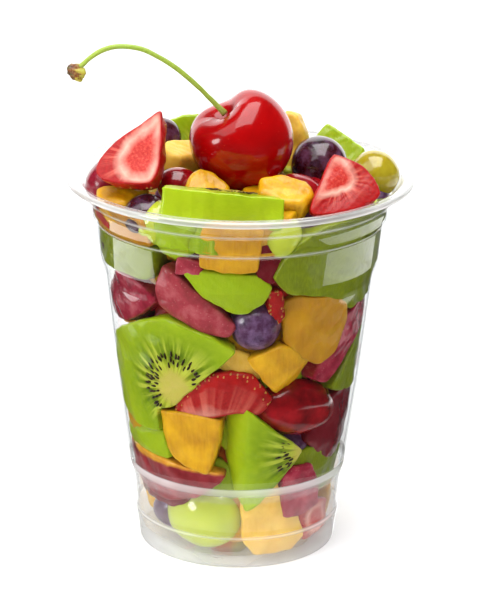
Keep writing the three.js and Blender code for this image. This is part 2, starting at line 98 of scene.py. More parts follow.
def fill_radius(height):
    """How far out the fruit reaches: just into the wall."""
    levels, radii = zip(*WALL_KNOTS)
    return np.interp(height, levels, radii) - WALL + INTO_WALL


# ---------------------------------------------------------------- numbers and noise


def vary(seed):
    """A repeatable number from 0 to 1 for each seed."""
    wave = math.sin(seed * 12.9898) * 43758.5453
    return wave - math.floor(wave)


def ripple(points, size, seed):
    """Smooth unevenness of about -1 to 1, in waves of about this size."""
    waves = 6
    total = np.zeros(len(points))
    for k in range(waves):
        way = np.array([vary(seed + 3.1 * k + j) - 0.5 for j in range(3)])
        way /= np.linalg.norm(way) + 1e-6
        pitch = size * (0.6 + 0.8 * vary(seed + 5.3 * k))
        total += np.sin(points @ way * (2 * math.pi / pitch) + 6.28 * vary(seed + 7.7 * k))
    return total / waves * 1.8


# ---------------------------------------------------------------- shapes


def circle(count):
    """Evenly spaced angles, once round."""
    return np.linspace(0, 2 * math.pi, count, endpoint=False)


def turned(profile, around):
    """The rings of a (radius, height) profile turned round the cup's axis."""
    return np.array([[(r * math.cos(t), r * math.sin(t), z) for t in circle(around)] for r, z in profile])


# The vein share of what isn't a strawberry's cut face.
OFF_FACE = 3.0


class Shape:
    """Rings of points from one end point to the other, with what the materials need to know."""

    def __init__(self, rings, start, end, share):
        self.rows, self.around = rings.shape[:2]
        self.co = np.vstack([start, rings.reshape(-1, 3), end])
        self.fruit = self.co.copy()
        middle = np.repeat(share, self.around)
        self.share = np.concatenate([[0.0], middle, [2.0]])
        self.vein = np.full(len(self.co), OFF_FACE)
        self.tone, self.skin = 0.5, 0.0

    def faces(self):
        """The corners of the four-sided faces, and of the triangles at both ends."""
        index = 1 + np.arange(self.rows * self.around).reshape(self.rows, self.around)
        after = np.roll(index, -1, axis=1)
        quads = np.stack([index[:-1], index[1:], after[1:], after[:-1]], axis=2).reshape(-1, 4)
        last = len(self.co) - 1
        fan_in = [[0, a, b] for a, b in zip(index[0], after[0])]
        fan_out = [[a, last, b] for a, b in zip(index[-1], after[-1])]
        return quads, np.array(fan_in + fan_out)

    def normals(self):
        quads, fans = self.faces()
        total = np.zeros_like(self.co)
        for corners in (quads[:, [0, 1, 2]], quads[:, [0, 2, 3]], fans):
            a, b, c = (self.co[corners[:, k]] for k in range(3))
            flat = np.cross(b - a, c - a)
            for k in range(3):
                np.add.at(total, corners[:, k], flat)
        return total / (np.linalg.norm(total, axis=1, keepdims=True) + 1e-9)

    def roughen(self, size, height, seed):
        self.co = self.co + self.normals() * (ripple(self.fruit, size, seed) * height)[:, None]
        return self

    def move(self, place):
        self.co = place(self.co)
        return self

    def toned(self, tone):
        self.tone = tone
        return self


def rounded(corners, soft):
    """The outline with its corners cut round, as evenly spaced points against the clock."""
    points = np.array(corners, float)
    after = np.roll(points, -1, axis=0)
    area = np.sum(points[:, 0] * after[:, 1] - after[:, 0] * points[:, 1])
    if area < 0:
        points = points[::-1]
    for cut in (soft, 0.25, 0.25):
        after = np.roll(points, -1, axis=0)
        points = np.stack([points + (after - points) * cut, after + (points - after) * cut], 1)
        points = points.reshape(-1, 2)
    return points


def resampled(points, count):
    """The closed outline as this many evenly spaced points."""
    closed = np.vstack([points, points[:1]])
    steps = np.hypot(*np.diff(closed, axis=0).T)
    along = np.concatenate([[0], np.cumsum(steps)])
    even = np.linspace(0, along[-1], count, endpoint=False)
    return np.stack([np.interp(even, along, closed[:, k]) for k in range(2)], 1)


def soft_min(a, b, width=0.5):
    """The lower of two heights, blended where they meet."""
    mix = np.clip(0.5 + 0.5 * (b - a) / width, 0, 1)
    return b + (a - b) * mix - width * mix * (1 - mix)


def vein_share(points, centre, vein):
    """How far out each point is from the centre, where the pale vein's own line counts as 1."""
    line = np.array(vein, float) - centre
    angles = np.arctan2(line[:, 1], line[:, 0])
    order = np.argsort(angles)
    ways = points[:, :2] - centre
    turn = np.arctan2(ways[:, 1], ways[:, 0])
    reach = np.interp(turn, angles[order], np.hypot(*line[order].T), period=2 * math.pi)
    return np.hypot(*ways.T) / reach


def chunk(outline, thickness=10.0, edge=0.8, dome=0.0, slopes=(), belly=0.0, soft=0.09, around=112):
    """A knife-cut piece: an outline in x and y, its front at z = 0 and its back at -thickness."""
    line = resampled(rounded(outline, soft), around)
    length = np.hypot(line[:, 0], line[:, 1])

    def front(x, y, share):
        height = dome * (1 - share**2) - dome
        for along_x, along_y, middle in slopes:
            height = soft_min(height, along_x * x + along_y * y + middle)
        return height

    rings, shares = [], []

    def add(inward, scale, drop, level, share):
        part = scale * np.maximum(0.25, 1 - inward / length)
        x, y = line[:, 0] * part, line[:, 1] * part
        top = front(x, y, part)
        z = np.minimum(top, 0) - drop if level is None else np.minimum(level, top - drop)
        rings.append(np.stack([x, y, z], 1))
        shares.append(share)

    for scale in np.linspace(0, 1, 15)[1:]:
        add(edge, scale, 0.0, None, scale * 0.95)
    for angle in np.radians([18, 36, 54, 72, 90]):
        add(edge * (1 - math.sin(angle)), 1.0, edge * (1 - math.cos(angle)), None, 1.0)
    if belly:
        for angle in np.radians([12, 24, 36, 48, 60, 72, 82]):
            low = -edge - (thickness - edge) * math.sin(angle)
            add(0.0, math.cos(angle) ** belly, edge, low, 1.0 + angle / math.pi)
    else:
        for part in (0.2, 0.4, 0.6, 0.8, 1.0):
            add(0.0, 1.0, edge, -edge - (thickness - 2 * edge) * part, 1.0 + 0.5 * part)
        for angle in np.radians([30, 60, 90]):
            low = edge - thickness - edge * math.sin(angle)
            add(edge * (1 - math.cos(angle)), 1.0, edge, low, 1.6)
        for scale in (0.7, 0.35):
            add(edge, scale, edge, -thickness, 1.8)
    start = [0, 0, float(front(0.0, 0.0, 0.0))]
    return Shape(np.array(rings), start, [0, 0, -thickness], np.array(shares))


def ball(radii, around=56, levels=30, reach=None):
    """An ellipsoid, or a body whose reach from its middle is a function of direction."""
    polar = np.linspace(0, math.pi, levels + 2)[1:-1]
    p, t = np.meshgrid(polar, circle(around), indexing="ij")
    ways = np.stack([np.sin(p) * np.cos(t), np.sin(p) * np.sin(t), np.cos(p)], 2)
    ends = np.array([[0, 0, 1.0], [0, 0, -1.0]])
    if reach:
        ways_reach = reach(ways.reshape(-1, 3)).reshape(p.shape)[:, :, None]
        end_reach = reach(ends)[:, None]
        ways, ends = ways * ways_reach, ends * end_reach
    size = np.array(radii)
    return Shape(ways * size, ends[0] * size, ends[1] * size, polar / math.pi)


def uneven_outline(half_width, half_height, corners, seed):
    outline = []
    for i in range(corners):
        angle = math.radians((i + 0.35 * vary(seed + i * 7.1)) * (360 / corners))
        reach = 0.88 + 0.24 * vary(seed + i * 3.7)
        outline.append((half_width * reach * math.cos(angle), half_height * reach * math.sin(angle)))
    return outline


# ---------------------------------------------------------------- placing


def bend_to_wall(azimuth, height, inset):
    """Moves points so that x runs round the wall, y upward, and z = 0 lies on the wall."""
    turn_radius = float(fill_radius(height))

    def place(points):
        level = np.maximum(FLOOR_LEVEL, height + points[:, 1])
        around = math.radians(azimuth) + points[:, 0] / turn_radius
        most = fill_radius(level)
        radius = np.minimum(most - inset + points[:, 2], most)
        return np.stack([radius * np.sin(around), -radius * np.cos(around), level], 1)

    return place


def spin(points, axis, degrees):
    turn = Matrix.Rotation(math.radians(degrees), 3, axis)
    return points @ np.array(turn).T


def keep_inside(points):
    """Presses points that lie beyond the wall back onto it, below the lip."""
    level = np.maximum(FLOOR_LEVEL, points[:, 2])
    most = np.where(level < CUP_HEIGHT, fill_radius(level), 60.0)
    radius = np.hypot(points[:, 0], points[:, 1]) + 1e-9
    press = np.minimum(1.0, most / radius)
    return np.stack([points[:, 0] * press, points[:, 1] * press, level], 1)


def ball_at_wall(azimuth, height, radii, inset=0.0, roll=0.0):
    centre = float(fill_radius(height)) - radii[2] * 0.95 - inset

    def place(points):
        points = spin(spin(points, "Z", roll), "X", 90)
        points = spin(points + [0, -centre, height], "Z", azimuth)
        return keep_inside(points)

    return place


def topping_place(at, turn):
    def place(points):
        for axis, degrees in zip("XYZ", turn):
            points = spin(points, axis, degrees)
        return keep_inside(points + at)

    return place


# ---------------------------------------------------------------- node trees


class Nodes:
    """The node tree of a material or a world, built with short calls."""

    def __init__(self, owner):
        owner.use_nodes = True
        self.owner = owner
        self.tree = owner.node_tree
        self.tree.nodes.clear()

    def add(self, kind, inputs=None, **settings):
        node = self.tree.nodes.new("ShaderNode" + kind)
        for key, value in settings.items():
            setattr(node, key, value)
        for key, value in (inputs or {}).items():
            if isinstance(value, bpy.types.NodeSocket):
                self.tree.links.new(value, node.inputs[key])
            else:
                node.inputs[key].default_value = value
        return node

    def attribute(self, name, output="Vector"):
        return self.add("Attribute", attribute_name=name, attribute_type="GEOMETRY").outputs[output]

    def noise(self, vector, scale, detail=2.0, roughness=0.5):
        inputs = {"Vector": vector, "Scale": scale, "Detail": detail, "Roughness": roughness}
        return self.add("TexNoise", inputs).outputs["Fac"]

    def ramp(self, factor, stops):
        node = self.add("ValToRGB", {"Fac": factor})
        marks = node.color_ramp.elements
        while len(marks) < len(stops):
            marks.new(0.5)
        for mark, (place, color) in zip(marks, stops):
            mark.position = place
            mark.color = (*color, 1.0)
        return node.outputs["Color"]

    def span(self, value, low, high, to_low=0.0, to_high=1.0):
        inputs = {"Value": value, "From Min": low, "From Max": high, "To Min": to_low, "To Max": to_high}
        return self.add("MapRange", inputs).outputs["Result"]

    def math(self, operation, first, second=0.0):
        return self.add("Math", {0: first, 1: second}, operation=operation).outputs[0]

    def times(self, first, second):
        return self.math("MULTIPLY", first, second)

    def plus(self, first, second):
        return self.math("ADD", first, second)

    def vector(self, operation, first, second=(0, 0, 0), output="Vector"):
        return self.add("VectorMath", {0: first, 1: second}, operation=operation).outputs[output]

    def stretch(self, vector, shares):
        return self.vector("MULTIPLY", vector, shares)

    def rays(self, flat, count):
        """The way from the middle, so that noise on it runs in about this many rays."""
        ray = self.vector("SCALE", self.vector("NORMALIZE", flat))
        self.tree.nodes[-1].inputs["Scale"].default_value = count
        return ray

    def mix(self, factor, first, second):
        node = self.add("Mix", {"Factor": factor}, data_type="RGBA")
        for socket, value in ((node.inputs[6], first), (node.inputs[7], second)):
            if isinstance(value, bpy.types.NodeSocket):
                self.tree.links.new(value, socket)
            else:
                socket.default_value = (*value, 1.0)
        return node.outputs[2]

    def tint(self, color, other, value, low, high, most=1.0):
        """The other colour over this one, more and more as the value goes from low to high."""
        return self.mix(self.span(value, low, high, 0.0, most), color, other)

    def bump(self, height, strength, distance):
        inputs = {"Height": height, "Strength": strength, "Distance": distance * MM}
        return self.add("Bump", inputs).outputs["Normal"]

    def length(self, vector):
        return self.vector("LENGTH", vector, output="Value")

    def blend(self, factor, first, second):
        return self.add("MixShader", {0: factor, 1: first, 2: second}).outputs[0]

    def output(self, kind, socket, shader):
        self.tree.links.new(shader, self.add("Output" + kind).inputs[socket])
        return self.owner


class Look(Nodes):
    """One procedural material, with the attributes that the meshes carry."""

    def __init__(self, name):
        super().__init__(bpy.data.materials.new(name))
        self.fruit = self.attribute("fruit")

    def mark(self, name):
        return self.attribute(name, "Fac")

    def grain(self, scale, detail=3.0, roughness=0.5, shares=None):
        """Noise in the fruit, which may be stretched by these shares."""
        where = self.stretch(self.fruit, shares) if shares else self.fruit
        return self.noise(where, scale, detail, roughness)

    def flat(self):
        """The fruit's own x and y, for what runs round its middle."""
        return self.stretch(self.fruit, (1, 1, 0))

    def patches(self, scale, detail, *colors, ends=(0.3, 0.7)):
        """These colours in soft patches."""
        return self.ramp(self.grain(scale, detail), list(zip(ends, colors)))

    def wobble(self, scale, size):
        """A soft shift of up to this size either way."""
        return self.span(self.grain(scale, 2.0), 0, 1, -size, size)

    def specks(self, scale):
        return self.add("TexVoronoi", {"Vector": self.fruit, "Scale": scale}).outputs["Distance"]

    def finish(self, color, roughness, normal=None, coat=0.5, glow=0.0, depth=(1, 0.5, 0.2), ior=1.38):
        inputs = {
            "Base Color": color,
            "Roughness": roughness,
            "IOR": ior,
            "Coat Weight": coat,
            "Coat Roughness": 0.06,
            "Subsurface Weight": glow,
            "Subsurface Radius": depth,
            "Subsurface Scale": 0.0025,
        }
        if normal:
            inputs["Normal"] = normal
        return self.output("Material", "Surface", self.add("BsdfPrincipled", inputs).outputs[0])


def mango_look(name, pale, deep):
    """Flesh of mango or peach, with fine fibres."""
    look = Look(name)
    fibre = look.grain(1.0, shares=(1.4, 0.16, 0.8))
    color = look.patches(0.13, 3.0, deep, pale)
    color = look.tint(color, pale, fibre, 0.35, 0.7, 0.45)
    color = look.tint(color, deep, look.mark("tone"), 0, 1, 0.8)
    height = look.plus(look.times(fibre, 0.6), look.grain(0.9))
    return look.finish(color, 0.38, look.bump(height, 0.35, 0.35), 0.2, 0.35, (1.0, 0.5, 0.12))


# Kiwi flesh from its core outward, as (share of the reach in millimetres, colour).
KIWI_REACH = 22
KIWI_RINGS = [
    (0.0, (0.52, 0.43, 0.09)), (0.20, (0.48, 0.41, 0.07)), (0.29, (0.36, 0.40, 0.02)),
    (0.42, (0.11, 0.18, 0.002)), (0.58, (0.19, 0.29, 0.002)), (0.86, (0.28, 0.395, 0.003)),
    (1.0, (0.33, 0.44, 0.005)),
]


def kiwi_look():
    """Pale core, dark ring with pale rays and dark seed beds between them, and green flesh."""
    look = Look("kiwi_flesh")
    flat = look.flat()
    radius = look.length(flat)
    along = look.add("CombineXYZ", {"Z": look.times(radius, 0.07)}).outputs[0]
    streak = look.noise(look.vector("ADD", look.rays(flat, 9.0), along), 1.0, 2.0)
    reach = look.plus(radius, look.wobble(0.25, 1.2))
    color = look.ramp(look.span(reach, 0, KIWI_REACH), KIWI_RINGS)
    band = look.times(look.span(radius, 3.5, 6.5), look.span(radius, 16, 11))
    color = look.mix(look.times(band, look.span(streak, 0.47, 0.61, 0.0, 0.9)), color, (0.47, 0.52, 0.05))
    color = look.mix(look.times(band, look.span(streak, 0.45, 0.33, 0.0, 0.7)), color, (0.08, 0.14, 0.001))
    # Dark olive where tone is high: on the kiwi pieces at the cup's sides, set to 1, this is painted shade.
    color = look.tint(color, (0.13, 0.15, 0.001), look.mark("tone"), 0.5, 1, 0.8)
    fine = look.grain(1.2, shares=(0.5, 0.5, 1.6))
    color = look.tint(color, (0.41, 0.50, 0.012), fine, 0.4, 0.75, 0.25)
    normal = look.bump(look.plus(look.times(streak, 0.5), fine), 0.3, 0.3)
    return look.finish(color, 0.3, normal, 0.3, 0.3, (0.6, 1.0, 0.15), 1.33)


def plum_look():
    look = Look("plum_skin")
    stops = [(0.28, (0.15, 0.002, 0.010)), (0.5, (0.32, 0.016, 0.04)), (0.72, (0.50, 0.10, 0.12))]
    color = look.ramp(look.grain(0.16, 4.0, 0.6), stops)
    color = look.tint(color, (0.72, 0.33, 0.28), look.specks(1.1), 0.16, 0.05, 0.5)
    tone = look.mark("tone")
    color = look.tint(color, (0.12, 0.001, 0.004), tone, 0.45, 1, 0.85)
    color = look.tint(color, (0.58, 0.22, 0.16), tone, 0.1, 0.0, 0.12)
    normal = look.bump(look.grain(0.45), 0.45, 0.5)
    return look.finish(color, 0.26, normal, 0.45, 0.15, (1.0, 0.2, 0.2), 1.33)


def nectarine_look():
    look = Look("nectarine_slice")
    height = look.add("SeparateXYZ", {0: look.fruit}).outputs["Y"]
    edge = look.plus(height, look.wobble(0.2, 1.2))
    skin = look.patches(0.2, 4.0, (0.14, 0.003, 0.005), (0.34, 0.03, 0.04))
    flesh = look.patches(0.3, 2.0, (0.55, 0.22, 0.01), (0.75, 0.38, 0.03))
    color = look.tint(skin, flesh, edge, 4.4, 5.2)
    normal = look.bump(look.grain(0.8), 0.2, 0.3)
    return look.finish(color, 0.3, normal, 0.5, 0.2, (1.0, 0.3, 0.1))


def strawberry_look():
    """On the cut face a pale core, a pale vein and red flesh, and red skin round the outside."""
    look = Look("strawberry_flesh")
    share = look.mark("share")
    vein = look.plus(look.mark("vein"), look.wobble(0.3, 0.12))
    streak = look.noise(look.rays(look.flat(), 7.0), 1.0, 3.0)
    grain = look.grain(1.3, 3.0, 0.6)
    core = [(0.3, (0.40, 0.009, 0.007)), (0.55, (0.52, 0.030, 0.018)), (0.75, (0.64, 0.11, 0.075))]
    flesh = look.ramp(grain, [(0.3, (0.27, 0.002, 0.003)), (0.7, (0.42, 0.008, 0.007))])
    outside = look.times(look.span(vein, 1.1, 1.25), look.span(vein, 2.4, 1.4))
    flesh = look.mix(look.times(outside, look.span(streak, 0.46, 0.62, 0, 0.7)), flesh, (0.64, 0.12, 0.08))
    cut = look.tint(look.ramp(grain, core), flesh, vein, 0.95, 1.05)
    line = look.times(look.span(vein, 0.55, 0.97), look.span(vein, 1.4, 1.0))
    line = look.times(line, look.span(look.grain(0.12, 2.0), 0.35, 0.65, 0.35, 0.85))
    cut = look.mix(line, cut, (0.90, 0.52, 0.40))
    skin = look.patches(0.3, 3.0, (0.27, 0.0015, 0.002), (0.46, 0.005, 0.004))
    cut = look.tint(cut, (0.38, 0.006, 0.006), share, 0.86, 0.98)
    color = look.tint(cut, skin, share, 0.985, 1.03)
    color = look.mix(look.mark("skin"), color, skin)
    normal = look.bump(look.plus(grain, look.times(streak, 0.5)), 0.4, 0.35)
    return look.finish(color, 0.38, normal, 0.15, 0.15, (1.0, 0.25, 0.15), 1.33)


def grape_look(name, pale, deep, glow, bloom=0.0, green=None):
    look = Look(name)
    color = look.patches(0.18, 3.0, deep, pale, ends=(0.3, 0.75))
    vein = look.noise(look.stretch(look.fruit, (0.6, 0.6, 0.1)), 1.0, 4.0, 0.7)
    color = look.tint(color, pale, vein, 0.5, 0.7, 0.35)
    if green:
        color = look.tint(color, green, look.mark("tone"), 0.4, 0.9, 0.7)
    if bloom:
        dust = look.grain(0.35, 4.0, 0.65)
        color = look.tint(color, (0.24, 0.14, 0.29), dust, 0.42, 0.68, bloom)
    return look.finish(color, 0.2 + 0.25 * bloom, None, 0.9 - 0.5 * bloom, glow, (1.0, 0.7, 0.2))


def cherry_look():
    look = Look("cherry_skin")
    share = look.mark("share")
    color = look.patches(0.1, 3.0, (0.25, 0.0004, 0.001), (0.40, 0.0006, 0.0012))
    # Brighter red over the lower half: painted light, lifting the side that the fruit below shades.
    color = look.tint(color, (0.62, 0.0008, 0.001), share, 0.45, 0.8, 0.8)
    # Darker red in the hollow round the stem: painted shade.
    color = look.mix(look.times(look.span(share, 0.2, 0.06), 0.75), color, (0.20, 0.001, 0.002))
    color = look.tint(color, (0.80, 0.12, 0.06), look.specks(0.75), 0.11, 0.03, 0.4)
    return look.finish(color, 0.22, None, 0.6, 0.2, (1.0, 0.08, 0.05), 1.25)


# The stalk's colours along it, up to 0.92, and then its knob's.
STALK_COLORS = [
    (0.0, (0.24, 0.25, 0.04)), (0.06, (0.26, 0.32, 0.03)), (0.5, (0.27, 0.38, 0.035)),
    (0.9, (0.33, 0.42, 0.06)), (0.94, (0.48, 0.38, 0.04)), (0.957, (0.24, 0.06, 0.015)),
    (1.0, (0.06, 0.012, 0.008)),
]


def stem_look():
    look = Look("cherry_stalk")
    along = look.add("SeparateXYZ", {0: look.fruit}).outputs["X"]
    patchy = look.span(look.grain(0.9, 2.0, shares=(0, 1, 1)), 0.3, 0.7, -0.03, 0.03)
    color = look.ramp(look.plus(along, look.times(patchy, look.span(along, 0.925, 0.935))), STALK_COLORS)
    grain = look.grain(1.0, shares=(200, 1, 1))
    color = look.tint(color, (0.52, 0.62, 0.18), grain, 0.4, 0.7, 0.25)
    return look.finish(color, 0.42, look.bump(grain, 0.3, 0.2), 0.1, 0.15, (0.6, 1.0, 0.2))


def seed_look(name, dark, light):
    look = Look(name)
    return look.finish(look.patches(1.2, 2.0, dark, light), 0.3, None, 0.5)


def core_look():
    look = Look("fruit_mass")
    colors = ((0.20, 0.02, 0.01), (0.36, 0.10, 0.005), (0.22, 0.20, 0.004), (0.40, 0.17, 0.01))
    color = look.patches(0.08, 3.0, *colors, ends=(0.3, 0.45, 0.55, 0.7))
    return look.finish(color, 0.35, look.bump(look.grain(0.4), 0.5, 1.0), 0.5, 0.2)


# Where the plastic is painted milky white, as (height, share) and, over the neck, (radius, share):
# haze in the thick creases, painted highlight lines at the rings and the lip's bead, and a painted
# reflection of the white floor over the foot.
WALL_HAZE_AND_PAINTED_SHINE = [
    (0.0, 0.4), (4.0, 0.27), (8.5, 0.16), (8.8, 0.65), (9.3, 0.65), (9.6, 0.14), (15.0, 0.1),
    (18.6, 0.03), (19.4, 0.03), (20.0, 0.16), (21.8, 0.2), (22.2, 0.55), (24.0, 0.8), (24.5, 0.0),
    (92.7, 0.0), (93.0, 0.4), (93.4, 0.4), (93.7, 0.0), (98.7, 0.02), (99.0, 0.42), (99.5, 0.42),
    (99.8, 0.03), (102.6, 0.04), (103.4, 0.12),
]
LIP_HAZE_AND_PAINTED_SHINE = [
    (43.4, 0.1), (44.1, 0.14), (44.3, 0.5), (44.6, 0.5), (44.8, 0.14), (46.4, 0.14), (46.8, 0.6),
    (47.5, 0.75),
]
WALL_SHINE_TOP, LIP_SHINE_TOP = 110, 50
# Heights where the lip's pattern takes over, then where the foot, the rim (radii) and the neck's
# painted haze and shine are darker, each from none to full.
LIP_STARTS, FOOT_SHADE, RIM_SHADE, NECK_SHADE = (103.2, 103.6), (1.2, 0.5), (46.9, 47.3), (98, 99)
# What the plastic lets through, from face on to a glance.
CLEAR_TINTS = [(0.0, (0.99, 0.995, 0.995)), (0.85, (0.97, 0.975, 0.975)), (1.0, (0.74, 0.76, 0.76))]


def cup_look():
    """Clear plastic: it lets light straight through and mirrors more at a glance."""
    look = Look("clear_cup")
    height = look.add("SeparateXYZ", {0: look.fruit}).outputs["Z"]
    radius = look.length(look.flat())

    def painted_shine_ramp(value, top, stops):
        return look.ramp(look.span(value, 0, top), [(place / top, (m, m, m)) for place, m in stops])

    # Milky white painted over the clear plastic in bands: haze, and painted highlights and reflections.
    wall = painted_shine_ramp(height, WALL_SHINE_TOP, WALL_HAZE_AND_PAINTED_SHINE)
    haze_and_painted_shine = look.tint(wall, painted_shine_ramp(radius, LIP_SHINE_TOP, LIP_HAZE_AND_PAINTED_SHINE), height, *LIP_STARTS)
    haze_and_painted_shine = look.times(haze_and_painted_shine, look.mark("share"))
    uneven = look.grain(0.045, 2.0, shares=(1, 1, 0.3))
    haze_and_painted_shine = look.times(haze_and_painted_shine, look.span(uneven, 0.3, 0.7, 0.7, 1.2))
    facing = look.add("LayerWeight", {"Blend": 0.5}).outputs["Facing"]
    haze_and_painted_shine = look.times(haze_and_painted_shine, look.span(facing, 0.1, 0.7, 0.85, 1.9))
    fresnel = look.add("Fresnel", {"IOR": 1.75}).outputs[0]
    inside = look.add("NewGeometry").outputs["Backfacing"]
    fresnel = look.times(fresnel, look.math("SUBTRACT", 1.0, inside))
    tint = look.ramp(facing, CLEAR_TINTS)
    tint = look.tint(tint, (0.7, 0.7, 0.7), height, *FOOT_SHADE)
    tint = look.tint(tint, (0.68, 0.68, 0.68), radius, *RIM_SHADE)
    pale = look.tint((0.87, 0.87, 0.86), (0.71, 0.71, 0.70), height, *NECK_SHADE)
    clear = look.add("BsdfTransparent", {"Color": tint}).outputs[0]
    white = [look.add(kind, {"Color": pale}).outputs[0] for kind in ("BsdfDiffuse", "BsdfTranslucent")]
    gloss = look.add("BsdfGlossy", {"Color": (1, 1, 1, 1), "Roughness": 0.03}).outputs[0]
    seen = look.blend(fresnel, look.blend(haze_and_painted_shine, clear, look.blend(0.5, *white)), gloss)
    whole = look.blend(look.add("LightPath").outputs["Is Shadow Ray"], seen, clear)
    return look.output("Material", "Surface", whole)


LOOKS = {
    "mango": mango_look("mango_flesh", (0.76, 0.42, 0.004), (0.40, 0.165, 0.0008)),
    "peach": mango_look("peach_flesh", (0.84, 0.56, 0.10), (0.62, 0.34, 0.015)),
    "kiwi": kiwi_look(),
    "plum": plum_look(),
    "nectarine": nectarine_look(),
    "strawberry": strawberry_look(),
    "grape_red": grape_look("red_grape_skin", (0.40, 0.005, 0.010), (0.11, 0.0006, 0.002), 0.15),
    "grape_green": grape_look(
        "green_grape_skin", (0.46, 0.38, 0.02), (0.28, 0.20, 0.004), 0.45, green=(0.50, 0.62, 0.05)
    ),
    "grape_black": grape_look("black_grape_skin", (0.07, 0.003, 0.008), (0.012, 0.001, 0.004), 0.1, 0.25),
    "blueberry": grape_look("blueberry_skin", (0.13, 0.03, 0.09), (0.026, 0.007, 0.032), 0.05, 0.6),
    "cherry": cherry_look(),
    "stem": stem_look(),
    "kiwi_seed": seed_look("kiwi_seed_coat", (0.008, 0.003, 0.001), (0.05, 0.018, 0.004)),
    "straw_seed": seed_look("strawberry_seed_coat", (0.34, 0.12, 0.02), (0.62, 0.34, 0.07)),
    "core": core_look(),
}

# ---------------------------------------------------------------- meshes


def add_piece(name, look, shapes, replaced):
    """One mesh of these shapes, which rides on the cup and stands for a node."""
    faces, start = [], 0
    values = {"co": [], "fruit": [], "share": [], "vein": [], "tone": [], "skin": []}
    for shape in shapes:
        for corners in shape.faces():
            faces.extend((corners + start).tolist())
        for key, rows in values.items():
            numbers = getattr(shape, key)
            rows.append(np.full(len(shape.co), numbers) if np.isscalar(numbers) else numbers)
        start += len(shape.co)
    mesh = bpy.data.meshes.new(name)
    mesh.from_pydata((np.vstack(values.pop("co")) * MM).tolist(), [], faces)
    for key, arrays in values.items():
        kind, field = ("FLOAT_VECTOR", "vector") if key == "fruit" else ("FLOAT", "value")
        layer = mesh.attributes.new(key, kind, "POINT")
        layer.data.foreach_set(field, np.concatenate(arrays).astype(np.float32).ravel())
    mesh.shade_smooth()
    mesh.materials.append(LOOKS[look])
    piece = put(name, mesh)
    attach(piece, "root")
    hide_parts(replaced)


def small_seed(size, at, along, out):
    """A small drop-shaped seed at a point, lying along one way and facing out another."""
    out = out / (np.linalg.norm(out) + 1e-9)
    along = along - out * np.dot(along, out)
    along = along / (np.linalg.norm(along) + 1e-9)
    across = np.cross(out, along)
    shape = ball(size, around=10, levels=6)
    taper = 1 - 0.35 * shape.co[:, 0] / size[0]
    shape.co[:, 1] *= taper
    shape.co = shape.co @ np.array([along, across, out]) + at
    shape.fruit = shape.co.copy()
    return shape


# Rings of seeds round a kiwi's core, as (radius, degrees between seeds).
KIWI_SEED_RINGS = ((6.5, 10), (8.0, 8), (9.3, 9))


def kiwi_seeds(outline, core, scale, front_z, place, seed):
    """Staggered rings of seeds round the core, where they lie on the cut face."""
    seeds = []
    line = rounded(outline, 0.16)
    for ring, (ring_radius, step) in enumerate(KIWI_SEED_RINGS):
        for k, angle in enumerate(range(0, 360, step)):
            mark = seed + ring * 50 + k
            turn = math.radians(angle + 6 * ring + 5 * (vary(mark) - 0.5))
            reach = (ring_radius + 1.5 * (vary(mark + 0.3) - 0.5)) / scale
            at = np.array([core[0] + reach * math.cos(turn), core[1] + reach * math.sin(turn)])
            if vary(mark + 0.7) < 0.3 or not inside(at, line * 0.93):
                continue
            way = np.array([math.cos(turn), math.sin(turn), 0])
            size = (0.72 + 0.3 * vary(mark + 0.1), 0.31, 0.2)
            spot = [*at, front_z(*at) + 0.05]
            seeds.append(small_seed(size, spot, way, np.array([0, 0, 1.0])).move(place))
    return seeds


def inside(point, line):
    """Whether the point lies in the closed line."""
    after = np.roll(line, -1, axis=0)
    above = (line[:, 1] > point[1]) != (after[:, 1] > point[1])
    slope = (after[:, 0] - line[:, 0]) / (after[:, 1] - line[:, 1] + 1e-12)
    cross = point[0] < slope * (point[1] - line[:, 1]) + line[:, 0]
    return bool(np.count_nonzero(above & cross) % 2)


STRAWBERRY_SEED = (0.55, 0.33, 0.22)
PIT_RADIUS, PIT_DEPTH = 0.7, 0.35


def skin_seeds(shape, rows, spacing, wanted=None, scale=1.0):
    """Seeds over the skin of a placed strawberry piece, with a shallow pit round each."""
    normals = shape.normals()
    seeds = []
    for n, row in enumerate(rows):
        ring = 1 + row * shape.around + np.arange(shape.around)
        length = np.linalg.norm(np.diff(shape.co[np.append(ring, ring[0])], axis=0), axis=1).sum()
        count = max(3, int(length / spacing))
        for k in range(count):
            jitter = 0.7 * (vary(7 * row + k) - 0.5)
            index = ring[int((k + jitter + 0.5 * (n % 2)) * shape.around / count) % shape.around]
            index += shape.around * int(3 * vary(5 * row + k + 0.5) - 1)
            if wanted is None or wanted[index]:
                seeds.append(index)
    gaps = [np.linalg.norm(shape.co - shape.co[index], axis=1) for index in seeds]
    dents = np.max([np.exp(-((gap / PIT_RADIUS) ** 2)) for gap in gaps], axis=0)
    shape.co = shape.co - normals * (PIT_DEPTH * dents)[:, None]
    up, size = np.array([0.2, 0.1, 1.0]), np.array(STRAWBERRY_SEED) * scale
    return [small_seed(size, shape.co[i] + normals[i] * 0.06, up, normals[i]) for i in seeds]
